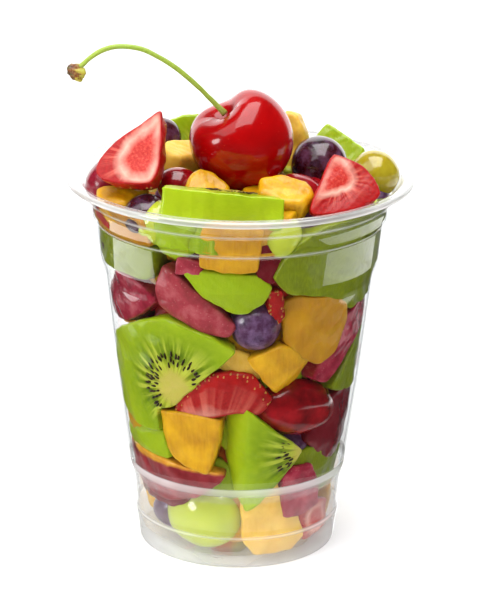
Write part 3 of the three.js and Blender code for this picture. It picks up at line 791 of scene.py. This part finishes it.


# ---------------------------------------------------------------- layout of the filling

# Pieces at the wall, as (kind, corners as (azimuth, height), what differs). A kiwi piece with a
# core shows its cut face, with the core at that (azimuth, height).
# A tone near 1 darkens a piece; on the kiwi pieces at the cup's sides it is painted shade.
FRONT_CHUNKS = [
    ("mango", [(-97, 91), (-62, 92), (-36, 93), (-38, 101), (-60, 102), (-96, 99)], {"inset": 0.3,
        "tone": 1.0}),
    ("kiwi", [(-39, 97), (-34, 101), (-24, 103), (-16, 102), (-17, 94), (-24, 90), (-34, 91)], {"dome": 2}),
    ("mango", [(-17, 89), (8, 88), (9, 103), (-14, 103)], {"inset": 0.2, "tone": 0.3}),
    ("kiwi", [(-97, 81), (-38, 83), (-36, 93), (-50, 93), (-96, 91)], {"inset": 0.4, "tone": 1.0}),
    ("plum", [(-28, 86), (-15, 87), (-15.5, 91), (-26, 92)], {"inset": 1.2, "thickness": 8}),
    ("plum", [(7, 85), (17, 85), (18, 92), (12, 97), (7, 96)], {"inset": 1.5, "tone": 1.0}),
    ("kiwi", [(13, 87), (22, 96), (34, 101), (60, 101), (99, 98), (105, 86), (98, 75), (58, 72), (40, 79),
        (20, 82)], {"tone": 1.0}),
    ("plum", [(-97, 72), (-83, 74), (-60, 84.5), (-46, 81), (-38, 77), (-48, 72), (-62, 67), (-96, 65)],
        {"inset": 0.1, "dome": 0.8, "tone": 0.55}),
    ("plum", [(-40, 80), (-34, 88.5), (-24, 85), (-12, 79), (-1, 72.5), (-4, 69), (-14, 69), (-26, 72),
        (-39, 76)], {"dome": 1.5, "tone": 0.0}),
    ("kiwi", [(-24, 87), (-20, 88.5), (8, 88), (14, 84), (11, 79), (4, 76), (-5, 76.5), (-16, 81)],
        {"inset": 0.3, "dome": 1}),
    ("strawberry", [(12, 83), (19, 83), (22, 74), (14, 70)], {"inset": 2.0, "rind": 20.0}),
    ("mango", [(20, 78), (27, 80.5), (42, 79), (52, 77), (57, 71), (50, 61), (40, 59), (30, 62), (21, 67)],
        {"inset": 0.2, "tone": 0.75, "ridges": [((32, 79), (25, 66), 0.6)]}),
    ("mango", [(3, 63), (20, 67), (30, 64), (39, 58), (36, 54), (21, 50.5), (11, 57)], {"inset": 0.5,
        "tone": 0.0, "ridges": [((15, 53), (33, 61.5), 0.9)]}),
    ("plum", [(38, 54.5), (46, 64.5), (54, 71), (74, 73.5), (93, 72), (91, 67.5), (78, 67), (61, 57.5),
        (48, 52)], {"inset": 0.3, "dome": 1}),
    ("kiwi", [(50, 50), (61, 56), (78, 66), (98, 66.5), (103, 56), (95, 45.5), (66, 46.5)], {"inset": 0.8,
        "tone": 1.0}),
    ("kiwi", [(-97, 55), (-70, 64.5), (-50, 70), (-34, 73.5), (-12, 69.5), (0, 65.5), (-12, 59), (-32, 47),
        (-43, 45), (-42, 38), (-62, 37), (-97, 42)], {"core": (-31, 53)}),
    ("strawberry", [(-34, 46), (-26, 53), (-14, 58), (-3, 59.5), (8, 58), (18, 50.5), (11, 46), (0, 47),
        (-12, 45), (-30, 44.5)], {"inset": 0.1, "dome": 1, "rind": 4.2}),
    ("peach", [(-16, 62), (-6, 66), (6, 64), (12, 56), (0, 56)], {"inset": 3.0, "thickness": 8}),
    ("mango", [(-42, 45), (-26, 46), (-7, 45), (-9, 37), (-15, 27.5), (-38, 31), (-43, 38)], {"inset": 0.3,
        "tone": 0.0, "ridges": [((-15, 29.5), (-9.5, 43), 0.9), ((-40, 46), (-35, 33), 0.5)]}),
    ("mango", [(-97, 41), (-60, 40), (-60, 34), (-97, 32)], {"inset": 0.9}),
    ("kiwi", [(-97, 33), (-60, 37.5), (-43, 38.5), (-38, 30), (-62, 28), (-96, 29)], {"inset": 0.4,
        "dome": 1}),
    ("nectarine", [(-97, 29.5), (-58, 30.5), (-5, 28.5), (-9, 25.5), (-24, 19.5), (-46, 16.5), (-72, 18),
        (-97, 22)], {"inset": 0.6}),
    ("kiwi", [(-9, 36), (-6, 45), (0, 51), (9, 46), (24, 39), (37, 34), (24, 26), (12, 19), (5, 16.5),
        (-3, 24)], {"slopes": [(0.9, 0, 4.5)], "core": (39, 34)}),
    ("plum", [(38, 36), (48, 45), (66, 50), (88, 45.5), (93, 37), (90, 29.5), (64, 26.5), (50, 30)],
        {"inset": 0.5, "dome": 1, "tone": 1.0}),
    ("kiwi", [(28, 32), (42, 34), (66, 29), (96, 27), (101, 22.5), (92, 17.5), (46, 18)], {"inset": 1.6,
        "tone": 1.0}),
    ("plum", [(24, 27), (30, 29.5), (43, 29), (50, 23), (56, 15), (41, 13), (27, 13.5)], {"inset": 0.2}),
    ("peach", [(2, 18), (8, 25), (22, 26), (27, 18), (40, 13), (45, 6), (36, 3), (10, 3), (3, 8)],
        {"inset": 0.8}),
    ("strawberry", [(40, 14), (56, 16), (74, 13), (70, 5), (46, 4)], {"inset": 1.2}),
    ("plum", [(-94, 20.5), (-46, 21), (-28, 19), (-36, 15), (-90, 14)], {"inset": 1.4, "thickness": 8,
        "tone": 1.0}),
]

# Round fruit at the wall, as (kind, azimuth, height, half sizes, inset, roll).
FRONT_BALLS = [
    ("blueberry", -78, 87.5, (6, 6, 5.5), 0.6, 0),
    ("grape_green", 17.5, 97.5, (6.2, 6.2, 6), 0.3, 0),
    ("blueberry", 8.5, 71.5, (6.9, 6.9, 6.4), 0.0, 0),
    ("grape_red", 36, 45.5, (13.5, 8.2, 8), 0.0, -14),
    ("blueberry", 37, 33.5, (5.5, 5.5, 5.5), 2.4, 0),
    ("grape_green", -25, 12.6, (11.3, 9.8, 7.8), 0.4, 8),
    ("blueberry", -58, 11, (6, 5.5, 5.5), 1.5, 0),
]

BACK_ROWS = (12, 31, 50, 69, 88)
BACK_START, BACK_END, BACK_COUNT = 96, 264, 5
CHUNK_KINDS = ("mango", "kiwi", "plum", "strawberry", "peach", "kiwi", "mango")
BALL_KINDS = ("grape_green", "blueberry", "grape_red", "grape_black")

# Crown of the filling, as (ring radius, pieces, top height).
CROWN_RINGS = ((34, 14, 103), (20, 8, 103.5), (7, 3, 104.5))
INNER_ROWS, INNER_PER_ROW = 7, 9
CORE_TOP, CORE_DOME = 99, 3.5
# How far from its core a kiwi piece is cut, where it doesn't show the core.
KIWI_OFF_CORE = 20

filling = {kind: [] for kind in LOOKS}

# A slice with skin is cut from a berry whose middle lies below it, at the end of its veins.
SLICE_MIDDLE = (-3, -22)
SLICE_VEIN = [(-3 + 14 * math.cos(0.2 * k), -22 + 14 * math.sin(0.2 * k)) for k in range(32)]


def set_lines(shape, kind, outline, core=None, scale=1.0, middle=(0, 0), vein=None):
    """Sets where a kiwi's core or a strawberry's pale vein lies in a piece."""
    if kind == "kiwi" and core:
        shape.fruit = (shape.fruit - [*core, 0]) * scale
    elif kind == "kiwi":
        across, up, out = shape.fruit.T
        shape.fruit = np.stack([out + KIWI_OFF_CORE, up, across], 1)
    elif kind == "strawberry":
        vein = vein or [(0.5 * x, 0.5 * y) for x, y in outline]
        share = vein_share(shape.co, np.array(middle, float), vein)
        shape.vein = np.where(shape.share <= 1.0, share, OFF_FACE)
        shape.fruit = shape.fruit - [*middle, 0]


def add_chunk(kind, outline, place, seed, form, core=None, scale=1.0, tone=None, rind=0.0):
    """Adds one chunk with its unevenness to the filling, and its seeds where its kind has them."""
    shape = chunk(outline, **form).toned(vary(seed + 0.9) * 0.5 if tone is None else tone)
    if rind:
        shape.skin = rind_share(shape, outline, rind)
    set_lines(shape, kind, outline, core, scale, *((SLICE_MIDDLE, SLICE_VEIN) if rind else ()))
    shape.roughen(7, 0.22, seed).roughen(2.2, 0.06, seed + 0.5).move(place)
    if kind == "kiwi" and core:
        front_z = front_of(form.get("slopes", ()))
        filling["kiwi_seed"].extend(kiwi_seeds(outline, core, scale, front_z, place, seed))
    if rind:
        filling["straw_seed"].extend(skin_seeds(shape, range(11, 17, 2), 3.0, shape.skin > 0.6, 0.7))
    filling[kind].append(shape)


def add_ball(kind, azimuth, height, radii, inset, roll, seed, tone):
    """Adds one round fruit at the wall to the filling."""
    shape = ball(radii).roughen(9, 0.18, seed + 40).toned(tone)
    filling[kind].append(shape.move(ball_at_wall(azimuth, height, radii, inset, roll)))


def front_of(slopes):
    """The height of a chunk's front at a point, for what lies on it."""
    return lambda x, y: min([0.0] + [a * x + b * y + c for a, b, c in slopes])


def wall_local(corners, spots=()):
    """The corners in millimetres about their box's middle, that middle, and other spots likewise."""
    azimuths, heights = zip(*corners)
    middle = ((min(azimuths) + max(azimuths)) / 2, (min(heights) + max(heights)) / 2)
    turn_radius = float(fill_radius(middle[1]))

    def local(azimuth, height):
        return (math.radians(azimuth - middle[0]) * turn_radius, height - middle[1])

    return [local(*corner) for corner in corners], middle, [local(*spot) for spot in spots]


def falling(first, second, steep):
    """The slope of a face that falls away to the right of the ridge from one spot to another."""
    way = np.subtract(second, first) / np.linalg.norm(np.subtract(second, first))
    right = np.array([way[1], -way[0]])
    return (*(-steep * right), steep * float(np.dot(first, right)))


def rind_share(shape, outline, depth):
    """1 where a slice shows its skin, down to this depth under its upper edge, and 0 in the flesh."""
    across, up = zip(*sorted(outline))
    upper = {}
    for x, y in zip(across, up):
        upper[round(x)] = max(y, upper.get(round(x), -99))
    hull = [(x, y) for x, y in sorted(upper.items()) if y > 0.0 or x in (min(upper), max(upper))]
    edge = np.interp(shape.co[:, 0], *zip(*hull))
    edge = edge - depth + 0.6 * ripple(shape.co, 5, 3)
    return np.clip((shape.co[:, 1] - edge) / 0.5, 0, 1)


def front_chunk(
    seed, kind, corners, inset=0.0, core=None, ridges=(), slopes=(), tone=None, rind=0.0, **form
):
    """One chunk at the wall, whose front may fall away from a ridge between two spots."""
    ends = [end for ridge in ridges for end in ridge[:2]]
    outline, middle, spots = wall_local(corners, ([core] if core else []) + ends)
    core = spots.pop(0) if core else None
    falls = [falling(*spots[2 * i : 2 * i + 2], ridge[2]) for i, ridge in enumerate(ridges)]
    place = bend_to_wall(*middle, max(0.2, inset))
    add_chunk(kind, outline, place, seed, {"slopes": [*slopes, *falls], **form}, core, 1.0, tone, rind)


def front_filling():
    for seed, (kind, corners, extra) in enumerate(FRONT_CHUNKS):
        front_chunk(seed, kind, corners, **extra)
    for seed, (kind, *where) in enumerate(FRONT_BALLS):
        add_ball(kind, *where, seed, 1.0 if kind == "grape_green" else 0.3)


def back_filling():
    step = (BACK_END - BACK_START) / BACK_COUNT
    for row, row_height in enumerate(BACK_ROWS):
        for i in range(BACK_COUNT):
            seed = row * 10 + i
            azimuth = BACK_START + (i + (0.35 if row % 2 == 0 else 0.65)) * step
            height = row_height + 3 * (vary(seed) - 0.5)
            inset = 1.2 * vary(seed + 0.5)
            if seed % 3 == 2:
                kind = BALL_KINDS[(seed // 3) % len(BALL_KINDS)]
                add_ball(kind, azimuth, height, (9, 8, 8), inset, 60 * vary(seed + 0.3), seed, vary(seed))
                continue
            kind = CHUNK_KINDS[seed % len(CHUNK_KINDS)]
            half_width = math.radians(step) * float(fill_radius(height)) / 2 + 1
            outline = uneven_outline(half_width, 10.5, 6, seed)
            core = (0, -9) if kind == "kiwi" and seed % 2 == 0 else None
            place = bend_to_wall(azimuth, height, inset + 0.2)
            add_chunk(kind, outline, place, seed + 60, {"dome": 1}, core)


def crown_filling():
    for ring, (ring_radius, count, top) in enumerate(CROWN_RINGS):
        for i in range(count):
            seed = 100 + ring * 20 + i
            place = crown_place(ring_radius, (i + 0.5 * ring) * (360 / count), top, seed)
            if seed % 3 == 1:
                kind = BALL_KINDS[(seed // 3) % len(BALL_KINDS)]
                shape = ball((6.5, 6, 6)).roughen(8, 0.15, seed).toned(vary(seed))
                shape.co = shape.co - [0, 0, 6]
                filling[kind].append(shape.move(place))
                continue
            kind = CHUNK_KINDS[seed % len(CHUNK_KINDS)]
            core = (0, -7) if kind == "kiwi" else None
            add_chunk(kind, uneven_outline(8, 6.5, 6, seed), place, seed, {"dome": 0.5}, core, 1.2)


def crown_place(ring_radius, angle, top, seed):
    def place(points):
        points = spin(points, "Z", 360 * vary(seed + 0.2))
        points = spin(points, "X", 24 * (vary(seed + 0.4) - 0.5))
        points = spin(points, "Y", 24 * (vary(seed + 0.6) - 0.5))
        points = points + [ring_radius, 0, top + 2.5 * vary(seed + 0.8)]
        return keep_inside(spin(points, "Z", angle))

    return place


def core_shape():
    """A plain body under the pieces, domed at the top."""
    bottom = FLOOR_LEVEL + 1
    levels = np.linspace(bottom, CORE_TOP, 40)
    radii = fill_radius(levels) - CORE_DEPTH
    profile = [(radii[0] * part, bottom) for part in (0.3, 0.7)]
    profile += list(zip(radii, levels))
    dome = (0.9, 0.7, 0.5, 0.3, 0.12)
    profile += [(radii[-1] * part, CORE_TOP + CORE_DOME * (1 - part**2)) for part in dome]
    top = [0, 0, CORE_TOP + CORE_DOME]
    shape = Shape(turned(profile[::-1], 96), top, [0, 0, bottom], np.ones(len(profile)))
    return shape.roughen(16, 2.2, 3).roughen(6, 0.8, 5)


def inner_filling():
    """A second layer of plain pieces, seen only through the gaps."""
    for row in range(INNER_ROWS):
        for i in range(INNER_PER_ROW):
            seed = 300 + row * 20 + i
            azimuth = (i + 0.5 * (row % 2)) * 360 / INNER_PER_ROW + 8 * vary(seed)
            height = 9 + row * 14 + 4 * vary(seed + 0.1)
            kind = CHUNK_KINDS[int(vary(seed + 0.2) * 6.99)]
            outline = uneven_outline(11, 8.5, 6, seed)
            shape = chunk(outline, dome=1, thickness=6, around=34)
            if kind == "kiwi":
                set_lines(shape, kind, outline)
            shape.move(bend_to_wall(azimuth, height, 4.2 + 1.6 * vary(seed + 0.3)))
            filling[kind].append(shape.toned(0.7))


front_filling()
back_filling()
crown_filling()
inner_filling()
filling["core"].append(core_shape())

for kind, shapes in filling.items():
    if shapes:
        add_piece("filling_" + kind, kind, shapes, "fruit_heap")

# ---------------------------------------------------------------- toppings

STANDING = 90
# As (node, kind, shape, what differs, place, turns about X, Y and Z).
CHUNK_TOPPINGS = [
    ("strawberry_left", "strawberry", [(6, 12.8), (7.4, 6.4), (8.5, 0.9), (8.8, -3), (8.5, -5.8),
        (7.4, -7.6), (4, -8.3), (-2.3, -8.5), (-5.5, -8.1), (-8, -6.9), (-8.8, -5.3), (-8.4, -2.5),
        (-6.7, 0.9), (-3.9, 4.2), (0, 7.7), (4.8, 12.3)], {"thickness": 10, "edge": 0.5, "lift": 5,
        "belly": 0.4, "soft": 0.2, "middle": (2.6, -0.8), "vein": [(6.1, 10.6), (3.2, 7.6), (0.4, 4.3),
        (-1.8, 0.6), (-2.5, -2.4), (-1.1, -5), (1.3, -6.7), (4.4, -7.3), (7, -6.6), (7.9, -4), (7.4, 1.2),
        (6.6, 7.6)]}, (-27.5, -19, 113.5), (55, 0, -20)),
    ("strawberry_right", "strawberry", [(-3, 8), (-4.2, 7), (-6.3, 3.8), (-8.9, -1), (-10.8, -4.3),
        (-12, -7.2), (-10.6, -8.6), (-5.2, -8.5), (0, -7.7), (4.5, -6.3), (7.1, -4.8), (7.8, -3.4),
        (7.4, -1.1), (5.6, 2.8), (3.2, 4.8), (0, 6.8)], {"thickness": 9, "edge": 0.5, "lift": 4.5,
        "belly": 0.4, "soft": 0.2, "middle": (-3.2, 0.6), "vein": [(-3.1, 7), (-5.6, 3.9), (-7.9, -0.6),
        (-9, -3), (-5.4, -2.7), (-2.7, -2), (-0.4, -1.5), (1, 0.5), (0.2, 3), (-0.6, 5.2), (-1.8, 6.8)]},
        (28, -22, 107.6), (55, 0, 14)),
    ("kiwi_front", "kiwi", [(-16.2, -8.4), (-6, -9.3), (6, -9.3), (16.2, -8.6), (14, -1), (8, 5.5),
        (-3, 7.5), (-12, 4.5), (-15.5, -1)], {"thickness": 8.4, "edge": 0.4, "lift": 3.1, "soft": 0.06,
        "core": (3, 5.5), "scale": 1.3}, (-4.6, -28.6, 104.9), (-13, 5.2, 0)),
    ("mango_front", "mango", uneven_outline(7.8, 6.5, 7, 3), {"thickness": 9, "edge": 1.6, "lift": 4.5},
        (11.6, -25.6, 104.8), (20, 12, -12)),
    ("mango_left", "mango", uneven_outline(7.5, 6, 6, 5), {"thickness": 8, "edge": 1.4, "lift": 4},
        (-31, -18.5, 101.6), (10, -12, 30)),
    ("peach_middle", "mango", [(-6.5, -5), (5.5, -5.5), (6, 0), (1.5, 4.5), (-2.5, 5.5), (-5.5, 1)],
        {"thickness": 7, "edge": 1.4, "lift": 3.5}, (-9, -19.6, 105.4), (34, 8, 6)),
    ("peach_left", "peach", uneven_outline(7.5, 6.5, 6, 11), {"thickness": 11, "edge": 1.5, "lift": 5.5},
        (-15.6, 1.5, 106.2), (14, 10, 15)),
    ("peach_back", "peach", [(-6, -9), (5, -9), (7, 0), (3.5, 9), (0, 10), (-5, 4)], {"thickness": 6,
        "edge": 1.4, "lift": 3}, (12.5, 11.5, 109), (STANDING - 12, 0, -14)),
    ("kiwi_back_left", "kiwi", [(-9, -6), (9, -6), (10, 3), (6, 6.6), (-4, 6.4), (-8, 5.2), (-9.5, 1)],
        {"thickness": 7, "edge": 0.8, "lift": 3.5, "core": (4, -11)}, (-12.5, 22, 108), (STANDING - 20, 0,
        10)),
    ("kiwi_back_right", "kiwi", [(-8, -5), (7, -6), (7.6, -1.6), (2.4, 2), (-3.4, 5.4), (-7.5, 0)],
        {"thickness": 8, "edge": 0.8, "lift": 4}, (27.2, 18.5, 107.4), (STANDING - 30, 0, -8)),
    ("strawberry_back", "strawberry", [(0, 11), (6, 6), (9, -1), (7, -7), (0, -9), (-7, -7), (-9, -1),
        (-6, 6)], {"thickness": 9, "edge": 0.6, "lift": 4.5, "belly": 0.5}, (2, 33, 106.6), (-52, 0, 4)),
    ("mango_back", "mango", uneven_outline(8, 6.5, 7, 17), {"thickness": 9, "edge": 1.6, "lift": 4.5},
        (-24, 27, 104.6), (-12, -10, 40)),
]
BALL_TOPPINGS = [
    ("grape_black", "grape_black", (7.7, 7.7, 7.6), (21.4, 0, 107.4), (0, 0, 0)),
    ("grape_green", "grape_green", (6.8, 6.8, 6.6), (36.4, 2, 104), (0, 0, 0)),
    ("blueberry_left", "grape_black", (6.3, 6.3, 6), (-24.6, -24.6, 99.8), (0, 0, 0)),
    ("plum_left", "plum", (9.5, 7.2, 8), (-33.6, -8.5, 103.2), (0, 12, 60)),
    ("grape_red", "grape_red", (6.2, 5.2, 5.2), (-16.2, -14.5, 105), (0, 15, 20)),
    ("plum_right", "grape_red", (7, 6, 5.5), (16, -13.5, 102.6), (0, 20, -30)),
    ("blueberry_back", "grape_black", (5.8, 5.8, 5.5), (-22, 12, 110.9), (0, 0, 0)),
    ("grape_back", "grape_red", (6.6, 8, 6.2), (26, 29.5, 101.4), (0, 0, 30)),
    ("blueberry_rear", "blueberry", (5.8, 5.8, 5.4), (0, 16.5, 108.6), (0, 0, 0)),
]


def chunk_topping(
    number, node, kind, outline, at, turn, lift, core=None, scale=1.0, middle=(0, 0), vein=None, **form
):
    """One cut piece on top, and its seeds, with its front raised by the lift before it is turned."""
    seed = 200 + number * 5
    shape = chunk(outline, around=144, **form)
    set_lines(shape, kind, outline, core, scale, middle, vein)
    shape.roughen(7, 0.2, seed).roughen(2.2, 0.06, seed + 0.5)

    def place(points):
        return topping_place(at, turn)(points + [0, 0, lift])

    shape.move(place)
    if kind == "strawberry":
        add_piece(node + "_seeds", "straw_seed", skin_seeds(shape, range(20, 26, 2), 3.2), node)
    if core:
        seeds = kiwi_seeds(outline, core, scale, front_of(()), place, seed)
        add_piece(node + "_seeds", "kiwi_seed", seeds, node)
    add_piece(node, kind, [shape.toned(vary(seed) * 0.4)], node)


def chunk_toppings():
    for number, (node, kind, outline, extra, at, turn) in enumerate(CHUNK_TOPPINGS):
        chunk_topping(number, node, kind, outline, at, turn, **extra)


def ball_toppings():
    for number, (node, kind, radii, at, turn) in enumerate(BALL_TOPPINGS):
        shape = ball(radii, around=96, levels=56).roughen(9, 0.15, 260 + number)
        shape.move(topping_place(at, turn)).toned(0.8 if kind == "plum" else 0.3)
        add_piece(node, kind, [shape], node)


CHERRY_RADIUS = 13.9
CHERRY_AT, CHERRY_TURN = (0.4, -6, 115.3), (17, -31, 0)
VALLEY_WAY, VALLEY_SIDE = (0.13, 0.99, 0), (0.99, -0.13, 0)


def cherry_reach(ways):
    """A hollow at the stem, broad shoulders, and a valley that runs down the far side."""
    from_stem = np.arccos(np.clip(ways[:, 2], -1, 1))
    hollow = 0.3 * np.exp(-((from_stem / 0.42) ** 2))
    shoulder = 0.05 * np.exp(-(((from_stem - 0.8) / 0.4) ** 2))
    beside = ways @ np.array(VALLEY_SIDE)
    behind = np.clip((ways @ np.array(VALLEY_WAY)) * 4 + 0.5, 0, 1)
    valley = 0.2 * np.exp(-((beside / 0.38) ** 2) - ((from_stem / 0.95) ** 4)) * behind
    return 1 - hollow + shoulder * (1 - valley * 5) - valley


def cherry():
    size = (CHERRY_RADIUS, CHERRY_RADIUS * 0.97, CHERRY_RADIUS * 0.97)
    shape = ball(size, around=180, levels=110, reach=cherry_reach).roughen(14, 0.1, 11)
    add_piece("cherry", "cherry", [shape.move(topping_place(CHERRY_AT, CHERRY_TURN))], "cherry")


STEM_ROUTE = [
    (-4.2, -9, 123.6), (-8.4, -9.2, 128), (-12.6, -9.4, 132.2), (-17.6, -9.6, 136.4), (-22.2, -9.8, 139.3),
    (-26.8, -10, 141.4), (-32.2, -10.2, 142), (-36.5, -10.4, 141), (-40, -10.6, 138.8), (-43, -10.8, 136),
]
STEM_END = (-43.6, -10.8, 135)
STEM_RADIUS = 0.78


def spline(points, count):
    """A smooth Catmull-Rom line through the points."""
    knots = np.array(points, float)
    padded = np.vstack([2 * knots[0] - knots[1], knots, 2 * knots[-1] - knots[-2]])
    line = []
    for u in np.linspace(0, len(knots) - 1 - 1e-9, count):
        i, t = int(u), u - int(u)
        a, b, c, d = padded[i : i + 4]
        square, cube = 2 * a - 5 * b + 4 * c - d, 3 * b - a - 3 * c + d
        line.append(0.5 * (2 * b + (c - a) * t + square * t**2 + cube * t**3))
    return np.array(line)


def cherry_stem():
    line = spline(STEM_ROUTE + [STEM_END], 90)
    tangents = np.gradient(line, axis=0)
    tangents /= np.linalg.norm(tangents, axis=1, keepdims=True)
    side = np.array([0, 1.0, 0])
    turn = circle(20)
    rings = []
    for i, (point, tangent) in enumerate(zip(line, tangents)):
        part = i / (len(line) - 1)
        out = np.cross(side, tangent)
        swell = 0.5 * math.exp(-(((1 - part) / 0.03) ** 2)) + 0.35 * math.exp(-((part / 0.03) ** 2))
        radius = STEM_RADIUS * (0.85 + swell + 0.5 * max(0.0, part - 0.9) / 0.1)
        rings.append([point + radius * (math.cos(t) * side + math.sin(t) * out) for t in turn])
    shape = Shape(np.array(rings), line[0], line[-1], np.linspace(0, 1, len(line)))
    along = np.repeat(np.linspace(0, 1, len(line)), len(turn)) * 0.92
    along = np.concatenate([[0], along, [0.92]])
    shape.fruit = np.stack([along, shape.co[:, 1], shape.co[:, 2]], 1)
    shape.roughen(3, 0.06, 5)
    knob = ball((2.6, 2.1, 2.0), around=40, levels=24).roughen(2.4, 0.35, 21).roughen(1.1, 0.15, 22)
    knob.co = spin(knob.co, "Y", 35) + np.array(STEM_END)
    part = np.clip((STEM_END[0] + 1.5 - knob.co[:, 0]) / 4.0, 0, 1)
    knob.fruit = np.stack([0.93 + 0.07 * part, knob.co[:, 1], knob.co[:, 2]], 1)
    add_piece("cherry_stem", "stem", [shape, knob], "cherry_stem")


chunk_toppings()
ball_toppings()
cherry()
cherry_stem()

# ---------------------------------------------------------------- cup


def softened(points, cut=0.6):
    """An open line with its corners cut round, no further from each than this."""
    line = np.array(points, float)
    for reach in (cut, cut / 3):
        made = [line[0]]
        for before, corner, after in zip(line[:-2], line[1:-1], line[2:]):
            for end in (before, after):
                way = end - corner
                made.append(corner + way * min(0.33, reach / np.linalg.norm(way)))
        line = np.array(made + [line[-1]])
    return line


def cup():
    outer = [(0, PUNT), (23, PUNT), (25.5, 0), (26.9, 0)]
    outer += [(radius, height) for height, radius in WALL_KNOTS]
    lip_in = LIP_RADIUS - 0.6
    outer += [(lip_in, CUP_HEIGHT - 2), (LIP_RADIUS, CUP_HEIGHT - 1)]
    outer += [(lip_in, CUP_HEIGHT), (44.4, CUP_HEIGHT)]
    inner = [(radius - WALL, height + WALL * 0.3) for height, radius in WALL_KNOTS[:0:-1]]
    profile = softened(outer + inner + [(FOOT_RADIUS - 1.5, FLOOR_LEVEL), (0, FLOOR_LEVEL)])
    start, end = [0, 0, profile[0][1]], [0, 0, profile[-1][1]]
    rings = turned(profile[1:-1], 192)
    # The share of painted haze and shine is 1 on the outside, up to the rows that curl over the lip.
    widest = np.argmax([r for r, _ in profile[1:-1]])
    outside = (np.arange(len(rings)) <= widest + 11).astype(float)
    shape = Shape(rings[:, ::-1], start, end, outside)
    shape.share[[0, -1]] = 0.0
    add_piece("cup", "cup", [shape], "cup")


LOOKS["cup"] = cup_look()
cup()

# ---------------------------------------------------------------- floor and light


def make_floor():
    mesh = bpy.data.meshes.new("floor")
    half = 4.0
    corners = [(-half, -half, 0), (half, -half, 0), (half, half, 0), (-half, half, 0)]
    mesh.from_pydata(corners, [], [(0, 1, 2, 3)])
    floor = put("floor", mesh)
    look = Nodes(bpy.data.materials.new("pale_floor"))
    where = look.add("TexCoord").outputs["Object"]
    color = look.ramp(look.noise(where, 3.0), [(0.0, (0.90, 0.90, 0.90)), (1.0, (0.93, 0.93, 0.93))])
    look.output("Material", "Surface", look.add("BsdfDiffuse", {"Color": color}).outputs[0])
    mesh.materials.append(look.owner)
    floor.visible_glossy = False


def area_light(name, at, aim, size, radiance, shape="RECTANGLE"):
    """A soft light of this radiance, size (width, height), facing a point."""
    data = bpy.data.lights.new(name, "AREA")
    data.shape = shape
    data.size, data.size_y = size
    area = size[0] * size[1] * (math.pi / 4 if shape == "DISK" else 1.0)
    data.energy = radiance * math.pi * area
    turn = (Vector(aim) - Vector(at)).to_track_quat("-Z", "Y").to_matrix().to_4x4()
    return put(name, data, turn, at)


WORLD_FILL = 0.42
DARK_ROOM = 0.03
BACKDROP = 1.7


def make_world():
    """White to the camera and behind the cup, and a dark room in front of it for reflections."""
    world = bpy.data.worlds.new("studio")
    scene.world = world
    sky = Nodes(world)
    way = sky.add("SeparateXYZ", {0: sky.add("TexCoord").outputs["Generated"]})
    backdrop = sky.times(sky.span(way.outputs["Y"], 0.66, 0.71), sky.span(way.outputs["Z"], -0.30, -0.22))
    behind = sky.span(backdrop, 0, 1, DARK_ROOM, BACKDROP)
    behind = sky.math("MAXIMUM", behind, sky.span(way.outputs["Y"], 0.84, 0.90))
    path = sky.add("LightPath")
    white = sky.add("Background", {"Color": (1, 1, 1, 1), "Strength": 1.0}).outputs[0]
    fill = sky.add("Background", {"Color": (0.97, 0.98, 1.0, 1), "Strength": WORLD_FILL}).outputs[0]
    mirrored = sky.add("Background", {"Color": (1, 1, 1, 1), "Strength": behind}).outputs[0]
    felt = sky.blend(path.outputs["Is Glossy Ray"], fill, mirrored)
    sky.output("World", "Surface", sky.blend(path.outputs["Is Camera Ray"], felt, white))
    world.cycles.sampling_method = "NONE"


make_floor()
make_world()
area_light("overhead", (0.01, -0.15, 0.9), (0.01, -0.15, 0), (0.72, 1.0), 5.0)
area_light("overhead_left", (-0.75, -0.5, 0.9), (-0.75, -0.5, 0), (0.8, 1.1), 2.0)
area_light("floor_back", (0, 0.65, 0.9), (0, 0.65, 0), (1.2, 0.6), 1.6).visible_glossy = False
area_light("key", (-0.84, -0.50, 0.32), (0, 0, 0.11), (0.30, 0.30), 13, "DISK")
foot_fill = area_light("foot_fill", (-0.06, -0.42, 0.06), (0, -0.02, -0.014), (0.16, 0.02), 1.5)
foot_fill.visible_glossy = False
foot_fill.visible_camera = False
foot_fill.data.spread = math.radians(14)
# Bright patches of table, seen only in the cup's shine: the floor is left out of reflections.
area_light("patch_left", (-0.32, 0.01, -0.004), (-0.32, 0.01, 1), (0.30, 0.17), 2.4)
area_light("patch_right", (0.32, 0.05, -0.004), (0.32, 0.05, 1), (0.30, 0.36), 1.5)
area_light("patch_near", (0, 0, -0.003), (0, 0, 1), (0.13, 0.13), 0.5, "DISK")

scene.view_settings.view_transform = "Standard"
scene.view_settings.look = "None"
scene.cycles.use_denoising = True
scene.cycles.transparent_max_bounces = 16
